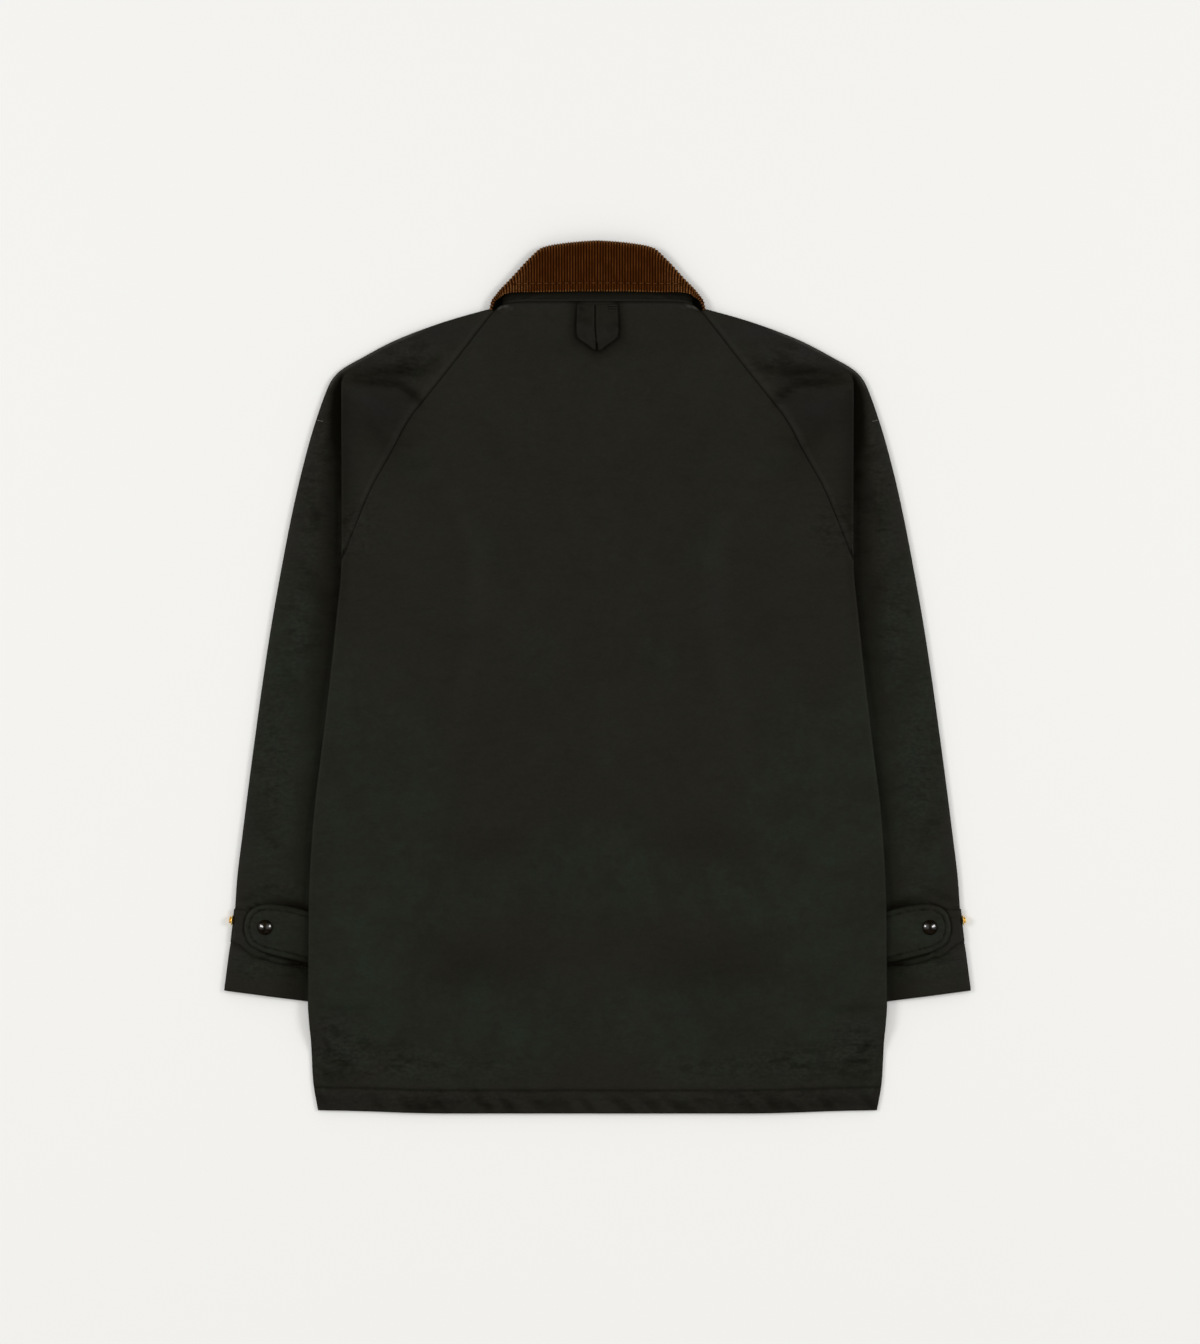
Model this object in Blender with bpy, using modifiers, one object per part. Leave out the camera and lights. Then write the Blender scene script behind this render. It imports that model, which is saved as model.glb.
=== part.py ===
# Waxed cotton jacket, laid face down with its back up: raglan sleeves folded in beside the body,
# corduroy collar, pointed hanger loop, snap tabs on the cuffs.
# Tables and constants are in millimetres; the meshes are made in metres.
# X runs across the jacket, Y from the hem to the collar, and Z up from the surface it lies on.
# +X is the wearer's right. The origin is at the middle of the jacket's box, on that surface.

import math
from collections import namedtuple

import bmesh
import bpy
from mathutils import Matrix, Vector

MM = 0.001

WALL = 1.5  # waxed cotton with its lining pressed to it
STRAP_WALL = 1.0
TAB_WALL = 1.5
LOOP_WALL = 1.4
PILE_WALL = 1.8  # corduroy, from its plain back to the floor between two wales
WALE_RISE = 0.5
WALE_PITCH = 2.75
UNDERARM_GAP = 0.9  # there the cloth turns up to its seam, and its cut edge leans
SEAM = 0.36  # measured across the jacket; the seams run steeply, so they part by 0.3

SLEEVE_GAP = 2.5  # air between the two layers of a sleeve
FOLD_RADIUS = 1.55  # middle of the wall, where the cloth turns under at the body's edge
TUCK_RADIUS = 1.95  # middle of the wall, where it turns back to the arm
LEAST_TURN = 30.0  # where the cloth turns less than this there is no tuck
LEAST_RETURN = 2.0  # cloth between those two turns where the tuck begins
LOW = WALL / 2  # middle of a layer that lies on the surface
ARM_TOP = LOW + WALL + SLEEVE_GAP
ARM_RADIUS = (ARM_TOP - LOW) / 2
FULL_STEP = 2 * (FOLD_RADIUS + TUCK_RADIUS)
SHOULDER_MARGIN = 8.0
FOLD_START = 3.15  # flat cloth between the back seam's lower end and the fold
SIDE_RETURN = 10.0  # back cloth turned under, up to the side seam

NECK_HALF = 108.0
BACK_NECK_TOP = 376.0
BACK_NECK_DROP = 16.0
BACK_NECK_CORNER = 366.0
FRONT_NECK_TOP = 366.0
FRONT_NECK_DEPTH = 39.0
SEAM_DROP = 21.0  # the front raglan seam starts this much lower than the back one
UNDERARM = 129.0
LAP = 28.0  # each front passes the centre line by this much
LAP_RISE = WALL + 0.3
MIDDLE_HEIGHT = LOW + WALL + LAP_RISE + 0.75
ARM_END = -336.0  # below it nothing lies under the body, and its sides sink to the surface
ARM_FADE = 46.0
BACK_RAMP, BACK_RAMP_END = 48.0, 6.0  # where the cloth rises over an arm, inward from the arm's edge
FRONT_RAMP, FRONT_RAMP_END = 34.0, 2.0

LEAF_LIFT = 2.1  # the collar's front leaves lie under the fronts
LEAF_CENTRE = 345.0
LEAF_REACH = 112.0
LEAF_RAMP = 25.0

HEM = -434.0
HEM_CORNER = 279.5
HEM_SAG = 3.0
HEM_ROUND = 130.0

Outer = namedtuple("Outer", "y x")
ARM_OUTER = [
    Outer(368, 107.5), Outer(357, 147.5), Outer(337, 201.5), Outer(317, 239.5), Outer(305, 259.0),
    Outer(297, 266.0), Outer(277, 274.5), Outer(237, 287.5), Outer(177, 302.5), Outer(117, 314.5),
    Outer(37, 328.5), Outer(-83, 345.5), Outer(-203, 360.5), Outer(-263, 367.0), Outer(-314, 373.5),
]

Edge = namedtuple("Edge", "y x")
BODY_EDGE = [
    Edge(300, 255.5), Edge(120, 255.5), Edge(51, 261.5), Edge(-48, 272.5), Edge(-152, 284.5),
    Edge(-228, 288.5), Edge(-326, 289.0), Edge(-363, 286.5), Edge(-403, 284.5), Edge(HEM, HEM_CORNER),
]

BACK_SEAM = [
    Edge(366, 104), Edge(301.5, 154.6), Edge(281, 171), Edge(257, 189.5), Edge(222, 207.7),
    Edge(189, 226.1), Edge(UNDERARM, 251.0),
]

FRONT_SEAM = [Edge(345, 91), Edge(260, 102), Edge(190, 118), Edge(UNDERARM, 144)]

ARM_INNER = [
    Edge(264, 249), Edge(235, 222), Edge(200, 188), Edge(160, 158), Edge(UNDERARM, 145),
    Edge(60, 147), Edge(-23, 163), Edge(-125, 187), Edge(-225, 213), Edge(-340, 233),
]

# A row across the top of a sleeve: where it starts on the back seam, where it ends on the arm's outer
# edge, and how far the cloth turns at the fold beside the body.
Rib = namedtuple("Rib", "seam outer turn")
SHOULDER_ROWS = [
    Rib(366, 367.2, 25), Rib(350, 360, 25), Rib(336, 351, 25), Rib(319, 336, 25), Rib(304, 320, 25),
    Rib(292, 306, 36), Rib(283, 296, 75), Rib(274, 284, 130), Rib(264, 264, 180),
]
TUCK_ROWS = [244, 224, 204, 182, 156, UNDERARM]
ARM_ROWS = [122, 80, 37, -10, -60, -110, -160, -203, -245, -282, -314]
CUFF_TILT = 0.131
TILT_START = -180.0

BODY_ROWS = [100, 62, 18, -32, -83, -132, -180, -228, -280, -326, -345, -363, -382, -408, HEM]

# The collar from its middle outwards: its top as it lies, and the free edge of the fall.
Collar = namedtuple("Collar", "x top edge")
COLLAR = [
    Collar(0, 437, 385.7), Collar(20, 435.6, 385.7), Collar(44.5, 432.5, 385.3), Collar(56.5, 429.0, 385),
    Collar(63.5, 423, 385), Collar(72.5, 412, 385), Collar(84.5, 401.4, 384.6), Collar(94.5, 391, 382.5),
    Collar(102.5, 381.4, 378), Collar(107.5, 369, 369),
]

# A front leaf of the collar past its side: the free edge, and the roll line beside the neck.
Leaf = namedtuple("Leaf", "edge_x edge_y roll_x roll_y")
FALL_LEAF = [
    Leaf(105.5, 362, 29.5, 376), Leaf(98, 342, 25, 367), Leaf(86, 322, 19, 357), Leaf(70, 301, 13, 346),
    Leaf(50, 282, 7.5, 336), Leaf(27, 306, 3, 328),
]
STAND_LEAF = [
    Leaf(96, 357, 30, 377), Leaf(88.5, 345, 25, 367), Leaf(62, 335.2, 18, 356), Leaf(34, 329.8, 10, 342),
    Leaf(4, 327.8, 3.5, 333),
]
ROLL_START = (38.5, 418.0)
ROLL_END = (31.0, 380.0)

FALL_TOP = 11.6  # inner face of the fall at the roll
FALL_EDGE = 8.9  # and at its free edge
FALL_HOOK = 3.6  # inner face of the turned end inside the neck
FALL_LEAF_HEIGHT = PILE_WALL  # inner face of a leaf, whose outer face is on the surface
HOOK_LENGTH = 6.0
SIDE_START = 26.0
SIDE_FULL = 42.0
LAST_FALL_COLUMN = 93.6
FALL_FLAT, FALL_TURNED = 3, 4  # faces down the back, and round the roll
FALL_TAIL = 7  # columns past the last wale, where the free edge climbs onto the roll
TAIL_WIDTH = 3.3

STAND_XS = [0, 16, 32, 46, 54, 62, 71, 80, 88, 95]
STAND_SIDE = 54.0  # from here out the stand turns under, round to the front neck
STAND_INSET = 8.2  # its roll inside the collar's outline
STAND_ROLL_GAP = (2, 3)  # its roll line beside the fall's

# A snap tab from where it leaves the body to its round end.
Tab = namedtuple("Tab", "x high low")
TAB = [
    Tab(272, -238.5, -292), Tab(290, -234, -287), Tab(311, -228.7, -281.5), Tab(330, -226.8, -276.3),
    Tab(342, -229.8, -271.3), Tab(348.5, -234.6, -266.8), Tab(352.2, -241, -261), Tab(353.5, -247, -254.5),
]
TAB_OVER_STRAP = 318.0

Strap = namedtuple("Strap", "y inner")
STRAP = [Strap(-232.5, 334), Strap(-249, 330), Strap(-265.5, 334)]
STRAP_TURN = 112.0

CAP_PLACE = (332.5, -250.5)
CAP_RADIUS = 7.65
CAP_RISE = 3.4
CAP_RIM = 0.9
STUD_Y = -243.5
STUD_FLANGE = 4.9
STUD_POST = 2.3
STUD_REACH = 3.9

Loop = namedtuple("Loop", "y inner outer rise")
LOOP = [
    Loop(372, 0.5, 20.6, 0.0), Loop(362, 0.45, 21.0, 0.6), Loop(352, 0.45, 21.4, 1.5),
    Loop(345, 0.45, 21.2, 1.9), Loop(340, 0.45, 20.3, 1.8),
]
LOOP_TIP = [Loop(337.5, 0.45, 17.6, 1.7), Loop(334, 0.45, 12.4, 1.4)]
LOOP_SLIT = [Loop(330.5, 0.9, 7.6, 1.1), Loop(326.5, 1.1, 2.6, 0.9)]

COLOURS = {
    "waxed": ((0.016, 0.017, 0.012), 0.62, 0.0),
    "corduroy": ((0.070, 0.020, 0.004), 0.9, 0.0),
    "cap": ((0.012, 0.007, 0.005), 0.12, 0.0),
    "brass": ((0.65, 0.42, 0.14), 0.28, 1.0),
}


def ease(t):
    """Rises smoothly from 0 to 1."""
    t = min(max(t, 0.0), 1.0)
    return t * t * (3 - 2 * t)


def mix(a, b, t):
    return a + (b - a) * t


def read(table, at, column, key="y"):
    """A column's value on a smooth curve through a table that is sorted by its key, with no overshoot."""
    rows = sorted(table, key=lambda row: getattr(row, key))
    xs = [getattr(row, key) for row in rows]
    vs = [getattr(row, column) for row in rows]
    at = min(max(at, xs[0]), xs[-1])
    slopes = [(vs[i + 1] - vs[i]) / (xs[i + 1] - xs[i]) for i in range(len(xs) - 1)]
    tangents = [slopes[0]]
    for before, after in zip(slopes, slopes[1:]):
        tangents.append(0.0 if before * after <= 0 else 2 * before * after / (before + after))
    tangents.append(slopes[-1])
    i = max(k for k in range(len(slopes)) if xs[k] <= at)
    span = xs[i + 1] - xs[i]
    t = (at - xs[i]) / span
    rise = t * t * (3 - 2 * t)
    start = t * (1 - t) ** 2 * span * tangents[i]
    end = t * t * (t - 1) * span * tangents[i + 1]
    return mix(vs[i], vs[i + 1], rise) + start + end


def leaf_lift(x, y):
    """How far the cloth near the neck is raised by the collar's leaves under it."""
    away = math.hypot(x, y - LEAF_CENTRE)
    return LEAF_LIFT * (1 - ease((away - LEAF_REACH) / LEAF_RAMP))


def step_of_turn(turn):
    """Height between the arm and the cloth above its tuck, for a turn in degrees."""
    t = math.radians(turn)
    return (FOLD_RADIUS + TUCK_RADIUS) * (1 - math.cos(t)) + LEAST_RETURN * math.sin(t)


def step_at(y):
    """The same height beside the body, at a place on the back seam or the body's edge."""
    if y >= SHOULDER_ROWS[-1].seam:
        return step_of_turn(read(SHOULDER_ROWS, y, "turn", "seam"))
    return FULL_STEP


def side_height(y):
    """Middle of the back's wall at its side."""
    over_arm = ARM_TOP + step_at(y)
    on_surface = LOW + 2 * FOLD_RADIUS
    return mix(over_arm, on_surface, ease((ARM_END - y) / ARM_FADE))


def back_height(x, y):
    """Middle of the back's wall: low in the middle, and over the arms at the sides."""
    hidden_arm = read(ARM_INNER, y, "x")
    out = ease((abs(x) - (hidden_arm - BACK_RAMP)) / (BACK_RAMP - BACK_RAMP_END))
    return mix(MIDDLE_HEIGHT, side_height(y), out) + leaf_lift(x, y)


def front_height(x, y):
    """Middle of a front's wall: on the surface, and over the arm past the arm's hidden edge."""
    if y > UNDERARM:
        return LOW + leaf_lift(x, y)
    hidden_arm = read(ARM_INNER, y, "x")
    out = ease((abs(x) - (hidden_arm - FRONT_RAMP)) / (FRONT_RAMP - FRONT_RAMP_END))
    return mix(LOW, side_height(y) - 2 * FOLD_RADIUS, out)


def back_neck(x):
    return max(BACK_NECK_TOP - BACK_NECK_DROP * min(abs(x) / NECK_HALF, 1) ** 8, BACK_NECK_CORNER)


def front_neck(x):
    return FRONT_NECK_TOP - FRONT_NECK_DEPTH * math.sqrt(max(1 - (x / NECK_HALF) ** 2, 0))


def hem_line(x):
    return HEM - HEM_SAG * ease((HEM_CORNER - abs(x)) / HEM_ROUND)


def new_material(name):
    colour, roughness, metallic = COLOURS[name]
    material = bpy.data.materials.new(name)
    material.use_nodes = True
    shader = material.node_tree.nodes["Principled BSDF"]
    shader.inputs["Base Color"].default_value = (*colour, 1)
    shader.inputs["Roughness"].default_value = roughness
    shader.inputs["Metallic"].default_value = metallic
    return material


def add_object(name, mesh, colour):
    piece = bpy.data.objects.new(name, mesh)
    mesh.materials.append(new_material(colour))
    mesh.materials[0].name = name
    jacket.objects.link(piece)
    return piece


def cloth(name, rows, wall, colour, side=1, offset=0.0, crests=None):
    """One cut piece: a surface through rows of points, with None where a row has no cloth, made a wall.
    Side -1 mirrors it. Offset 0 puts the points in the middle of the wall, and 1 on its inner face.
    Crests gives each point's share of the wall's full thickness."""
    bm = bmesh.new()
    grid = [[p and bm.verts.new((side * p[0] * MM, p[1] * MM, p[2] * MM)) for p in row] for row in rows]
    for upper, lower in zip(grid, grid[1:]):
        for k in range(len(upper) - 1):
            corners = [upper[k], lower[k], lower[k + 1], upper[k + 1]]
            if None not in corners:
                bm.faces.new(corners[:: side])
    order = [v for row in grid for v in row]
    for vert in [v for v in order if v and not v.link_faces]:
        bm.verts.remove(vert)
    bm.verts.index_update()
    mesh = bpy.data.meshes.new(name)
    bm.to_mesh(mesh)
    piece = add_object(name, mesh, colour)
    solid = piece.modifiers.new("wall", "SOLIDIFY")
    solid.thickness = wall * MM
    solid.offset = offset
    solid.use_even_offset = True
    if crests:
        group = piece.vertex_groups.new(name="thickness")
        for row, shares in zip(grid, crests):
            for vert, share in zip(row, shares):
                if vert and vert.is_valid:
                    group.add([vert.index], share, "REPLACE")
        solid.vertex_group = "thickness"
    bm.free()
    mesh.shade_smooth()
    return piece


def arc(centre, radius, start, end, count):
    """Points of an arc in a section, angles in degrees from the outward direction, both ends included."""
    points = []
    for k in range(count + 1):
        angle = math.radians(mix(start, end, k / count))
        points.append((centre[0] + radius * math.cos(angle), centre[1] + radius * math.sin(angle)))
    return points


def run(start, end, count):
    """Points between two ends of a straight stretch, without the ends."""
    return [(mix(start[0], end[0], k / count), mix(start[1], end[1], k / count)) for k in range(1, count)]


# Stretches of a sleeve's section, in faces: the flap beside the back, the fold, the cloth back under it,
# the tuck, the arm's upper layer, its rounded edge, its lower layer, and the turn to the underarm seam.
FLAP, FOLD, RETURN, TUCK, UPPER, ROUND, FLOOR, UNDER = 5, 3, 2, 3, 4, 4, 4, 3


def flap_height(u, top, first, start):
    """Height of the flap at u from the back seam. With a start on that seam it matches the back's own."""
    if start:
        return back_height(start.x + u, start.y) - leaf_lift(start.x + u, start.y)
    ramp = max(0.0, first - BACK_RAMP)
    return mix(MIDDLE_HEIGHT, top, ease((u - ramp) / (first - ramp)))


def tucked_section(width, fold, turn, length, start):
    """Section of a sleeve beside the body, from the back seam at 0 to the arm's outer edge at width."""
    t = math.radians(turn)
    step = (FOLD_RADIUS + TUCK_RADIUS) * (1 - math.cos(t)) + length * math.sin(t)
    top = ARM_TOP + step
    first = fold - FOLD_RADIUS * math.sin(min(t, math.pi / 2))
    turned = arc((first, top - FOLD_RADIUS), FOLD_RADIUS, 90, 90 - turn, FOLD)
    end = (turned[-1][0] + length * math.cos(t), turned[-1][1] - length * math.sin(t))
    middle = (end[0] + TUCK_RADIUS * math.sin(t), end[1] + TUCK_RADIUS * math.cos(t))
    back = arc(middle, TUCK_RADIUS, 270 - turn, 270, TUCK)
    flap = [SEAM / 2] + [mix(SEAM / 2, first, k / FLAP) for k in range(1, FLAP)]
    points = [(u, flap_height(u, top, first, start)) for u in flap] + turned
    points += run(turned[-1], end, RETURN) + back
    last = (width - ARM_RADIUS, ARM_TOP)
    if turn < LEAST_TURN:
        seam = (SEAM / 2, MIDDLE_HEIGHT)
        flat = max(0.4, 1 - 20 / width)
        bend = (mix(seam[0], last[0], flat), mix(MIDDLE_HEIGHT, ARM_TOP, flat))
        points = [seam] + run(seam, bend, FLAP) + [bend] + run(bend, last, FOLD + RETURN + TUCK + UPPER)
    else:
        points += run(back[-1], last, UPPER)
    points += arc((last[0], LOW + ARM_RADIUS), ARM_RADIUS, 90, -90, ROUND)
    return points


def sleeve_rows():
    """Rows of one sleeve from the neck to the cuff."""
    rows = []
    lower = [Rib(y, y, 180) for y in TUCK_ROWS]
    for rib in SHOULDER_ROWS + lower:
        start = Vector((read(BACK_SEAM, rib.seam, "x"), rib.seam))
        outer = Vector((read(ARM_OUTER, rib.outer, "x"), rib.outer))
        along = (outer - start).normalized()
        width = (outer - start).length
        margin = min(SHOULDER_MARGIN, width * 0.45)
        fold = min(width - margin, (read(BODY_EDGE, rib.seam, "x") - start.x) / along.x)
        length = fold + start.x - FOLD_RADIUS - TUCK_RADIUS - read(ARM_INNER, rib.seam, "x")
        length = max(LEAST_RETURN, length) if rib.turn == 180 else LEAST_RETURN
        beside_back = rib.seam <= SHOULDER_ROWS[-1].seam
        section = tucked_section(width, fold, rib.turn, length, start if beside_back else None)
        row = []
        for u, z in section:
            place = start + along * u
            row.append((place.x, place.y, z))
        front = front_seam_point(rib.seam)
        turned = row[-1]
        for k in range(1, FLOOR + 1):
            t = k / FLOOR
            row.append((mix(turned[0], front[0] + SEAM / 2, t), mix(turned[1], front[1], t), LOW))
        row = [(x, y, z + leaf_lift(x, y)) for x, y, z in row]
        rows.append(row + [None] * UNDER)
    rows[-1] = [(x, y + SEAM / 2, z) if k < hidden_columns() else (x, y, z)
                for k, (x, y, z) in enumerate(rows[-1][:-UNDER])] + [None] * UNDER
    for y in ARM_ROWS:
        outer = read(ARM_OUTER, y, "x")
        inner = read(ARM_INNER, y, "x")
        tilt = CUFF_TILT * ease((TILT_START - y) / (TILT_START - ARM_ROWS[-1]))
        first = (inner + ARM_RADIUS + UNDERARM_GAP, ARM_TOP)
        last = (outer - ARM_RADIUS, ARM_TOP)
        section = [first] + run(first, last, UPPER)
        section += arc((last[0], LOW + ARM_RADIUS), ARM_RADIUS, 90, -90, ROUND)
        low = (inner + ARM_RADIUS, LOW)
        section += run(section[-1], low, FLOOR)
        section += arc((low[0], LOW + ARM_RADIUS), ARM_RADIUS, 270, 90, UNDER)
        rows.append([None] * hidden_columns() + [(x, y - tilt * (outer - x), z) for x, z in section])
    return rows


def hidden_columns():
    """Columns before the last of the tuck, which only the rows above the underarm have."""
    return FLAP + FOLD + RETURN + TUCK


def front_seam_point(seam):
    """Where the row of a sleeve that starts at this place on the back seam ends on the front seam."""
    neck, fold_end = SHOULDER_ROWS[0].seam, SHOULDER_ROWS[-1].seam
    y = seam - SEAM_DROP * max(0.0, (seam - fold_end) / (neck - fold_end))
    return read(FRONT_SEAM, y, "x"), y


def back_columns(y, side):
    """Places across one half of the back, closest where the cloth rises over the arm."""
    edge = read(ARM_INNER, y, "x")
    ramp = edge - BACK_RAMP
    xs = [0, ramp / 3, ramp * 2 / 3, ramp, edge - 32, edge - 18, edge - BACK_RAMP_END]
    whole = max(side, edge + 10)
    xs += [(xs[-1] + whole) / 2, whole]
    return [x * side / whole for x in xs]


def back_rows():
    """Rows of the back from the neck to the hem, with its sides turned under below the underarm."""
    rows = []
    upper = [rib.seam for rib in SHOULDER_ROWS] + TUCK_ROWS
    for number, y in enumerate(upper + BODY_ROWS):
        below = y <= UNDERARM
        fold = read(BODY_EDGE, y, "x") - FOLD_RADIUS
        side = fold - FOLD_START if below else read(BACK_SEAM, y, "x") - SEAM / 2
        half = []
        for x in back_columns(y, side):
            place = y
            if number == 0:
                place = back_neck(x)
            if y == HEM:
                place = hem_line(x)
            half.append((x, place, back_height(x, y)))
        turned = [None] * (FOLD + 2)
        if below:
            top = back_height(fold, y)
            place = y - SEAM / 2 if y == UNDERARM else half[-1][1]
            turned = [(x, place, z) for x, z in arc((fold, top - FOLD_RADIUS), FOLD_RADIUS, 90, -90, FOLD)]
            turned.append((fold - SIDE_RETURN, place, top - 2 * FOLD_RADIUS))
        right = half[1:] + turned
        left = [p and (-p[0], p[1], p[2]) for p in reversed(right)]
        rows.append(left + [half[0]] + right)
    return rows


def front_rows(lapping):
    """Rows of one front, from past the centre line to its raglan seam or side seam."""
    outer_columns = 3
    rows = []
    upper = [rib.seam for rib in SHOULDER_ROWS] + TUCK_ROWS
    for number, seam in enumerate(upper + BODY_ROWS):
        inner = read(ARM_INNER, seam, "x")
        end, y = front_seam_point(seam) if seam >= UNDERARM else (inner - FRONT_RAMP_END, seam)
        last = end - SEAM / 2
        blend = 1 - ease(number / 8)
        xs = [-LAP, 0, LAP + 3, 2 * LAP + 2]
        if seam > UNDERARM:
            xs += [mix(xs[-1], last, k / 3) for k in (1, 2, 3)]
        else:
            xs += [inner - FRONT_RAMP, inner - 18, last]
        row = []
        for x in xs:
            dip = (front_neck(x) - front_neck(end)) * blend
            place = hem_line(x) if y == HEM else y + dip
            rise = LAP_RISE * ease((2 * LAP + 2 - x) / (LAP - 1)) if lapping else 0.0
            row.append((x, place, front_height(x, y) + rise))
        outer = [None] * outer_columns
        if seam <= UNDERARM:
            side = read(BODY_EDGE, y, "x") - FOLD_RADIUS - SIDE_RETURN - SEAM
            outer = []
            for k in range(1, outer_columns + 1):
                x = mix(row[-1][0], side, k / outer_columns)
                place = hem_line(x) if y == HEM else y - (SEAM / 2 if y == UNDERARM else 0)
                outer.append((x, place, front_height(x, y)))
        rows.append(row + outer)
    return rows


def rim(table, radius_of):
    """The collar's outline as boundary points, outward directions and the line that its flat top ends on."""
    samples = []
    steps = 120
    points = []
    for k in range(steps + 1):
        x = table[-1].x * math.sin(math.pi / 2 * k / steps)
        points.append(Vector((x, read(table, x, "top", "x"))))
    for before, point, after in zip([points[0]] + points, points, points[1:] + [points[-1]]):
        d = (after - before).normalized()
        out = Vector((-d.y, d.x))
        radius = radius_of(point.x)
        samples.append((point, out, radius, point - out * radius))
    return samples


def on_rim(samples, x):
    """The outline's sample whose flat top ends at this x."""
    for before, after in zip(samples, samples[1:]):
        if before[3].x <= x <= after[3].x:
            t = (x - before[3].x) / max(after[3].x - before[3].x, 1e-9)
            return (before[0].lerp(after[0], t), before[1].lerp(after[1], t).normalized(),
                    mix(before[2], after[2], t), before[3].lerp(after[3], t))
    return samples[-1]


def fall_bottom(x):
    """Inner face of the cloth under the roll: the turned end behind the neck, and the leaf at the side."""
    return mix(FALL_HOOK, FALL_LEAF_HEIGHT, ease((x - SIDE_START) / (SIDE_FULL - SIDE_START)))


def fall_top(x):
    return mix(FALL_TOP, FALL_EDGE, ease((x - SIDE_FULL) / (LAST_FALL_COLUMN - SIDE_FULL)))


def fall_column(edge, centre, out, radius, high, width):
    """One line of cloth from the free edge to the roll and round it. Width is what shows beside the rim:
    where that is less than the roll's radius, the edge itself lies on the roll."""
    column = []
    if width >= radius:
        for j in range(FALL_FLAT + 1):
            place = edge.lerp(centre, j / FALL_FLAT)
            column.append((place.x, place.y, mix(FALL_EDGE, high, j / FALL_FLAT)))
        angles = [math.pi * j / FALL_TURNED for j in range(1, FALL_TURNED + 1)]
    else:
        first = math.asin(1 - width / radius)
        last = FALL_FLAT + FALL_TURNED
        angles = [mix(first, math.pi, j / last) for j in range(last + 1)]
    for angle in angles:
        place = centre + out * radius * math.sin(angle)
        column.append((place.x, place.y, high - radius + radius * math.cos(angle)))
    return column


def fall_rows():
    """The fall: columns a half wale apart down the back, then the plain leaf under each side."""
    samples = rim(COLLAR, lambda x: (fall_top(x) - fall_bottom(x)) / 2 + PILE_WALL)
    places = []
    for k in range(int(LAST_FALL_COLUMN / (WALE_PITCH / 2)) + 1):
        x = k * WALE_PITCH / 2
        border, out, reach, centre = on_rim(samples, x)
        places.append((x, Vector((x, read(COLLAR, x, "edge", "x"))), border, out, reach, centre))
    wales = len(places)
    tail = [sample for sample in samples if sample[0].y < places[-1][2].y - 2.0]
    stride = (len(tail) - 1) / FALL_TAIL
    for k in range(FALL_TAIL + 1):
        border, out, reach, centre = tail[round(k * stride)]
        places.append((LAST_FALL_COLUMN, None, border, out, reach, centre))
    columns = []
    for number, (x, edge, border, out, reach, centre) in enumerate(places):
        radius = reach - PILE_WALL
        width = radius if edge else TAIL_WIDTH * (1 - (number - wales + 1) / (FALL_TAIL + 2))
        column = fall_column(edge, centre, out, radius, fall_bottom(border.x) + 2 * radius, width)
        along = (border.x - SIDE_FULL) / (COLLAR[-1].x - SIDE_FULL)
        roll = Vector(ROLL_START).lerp(Vector(ROLL_END), along)
        roll.x = min(roll.x, x)
        end = centre - out * HOOK_LENGTH
        end = end.lerp(roll, ease((x - SIDE_START) / (SIDE_FULL - SIDE_START)))
        columns.append(column + [(end.x, end.y, column[-1][2])])
    height = len(columns[0])
    for leaf in FALL_LEAF:
        edges = [(leaf.edge_x, leaf.edge_y, FALL_LEAF_HEIGHT), (leaf.roll_x, leaf.roll_y, FALL_LEAF_HEIGHT)]
        columns.append([None] * (height - 2) + edges)
    plain = PILE_WALL / (PILE_WALL + WALE_RISE)
    crests = [[1.0 if k % 2 and k < wales and j < height - 2 else plain for j in range(height)]
              for k in range(len(columns))]
    return columns, crests


def stand_columns():
    """The stand: from the neck seam up under the roll, and round each side to the front neck."""
    flat, turned, under = 2, 4, 1
    high, low = MIDDLE_HEIGHT + LEAF_LIFT, LOW + LEAF_LIFT
    radius = (high - low) / 2
    samples = rim(COLLAR, lambda x: STAND_INSET)
    columns = []
    for x in STAND_XS:
        edge = Vector((x, back_neck(x) + SEAM))
        border, out, _, shoulder = on_rim(samples, x)
        column = []
        for j in range(flat + 1):
            place = edge.lerp(shoulder, j / flat)
            column.append((place.x, place.y, high))
        sides = x >= STAND_SIDE
        along = (x - STAND_SIDE) / (STAND_XS[-1] - STAND_SIDE)
        roll = Vector(ROLL_START).lerp(Vector(ROLL_END), along) + Vector(STAND_ROLL_GAP)
        for j in range(1, turned + 1):
            angle = math.pi * j / turned
            place = shoulder + out * radius * math.sin(angle)
            column.append((place.x, place.y, high - radius + radius * math.cos(angle)) if sides else None)
        for j in range(1, under + 1):
            place = shoulder.lerp(roll, j / under)
            column.append((place.x, place.y, low) if sides else None)
        columns.append(column)
    height = len(columns[0])
    for leaf in STAND_LEAF:
        column = [None] * (height - under - 1)
        for j in range(under + 1):
            t = j / under
            column.append((mix(leaf.edge_x, leaf.roll_x, t), mix(leaf.edge_y, leaf.roll_y, t), low))
        columns.append(column)
    return columns


def both_sides(columns):
    """The columns of a right half, with their mirror images before them."""
    left = [[p and (-p[0], p[1], p[2]) for p in column] for column in reversed(columns[1:])]
    return left + columns


def transpose(columns):
    return [list(row) for row in zip(*columns)]


def add_collar():
    columns, crests = fall_rows()
    rows = transpose(both_sides(columns))[::-1]
    crest_rows = transpose(crests[:0:-1] + crests)[::-1]
    cloth("collar_fall", rows, PILE_WALL + WALE_RISE, "corduroy", offset=1.0, crests=crest_rows)
    cloth("collar_stand", transpose(both_sides(stand_columns())), WALL, "waxed")


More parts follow.
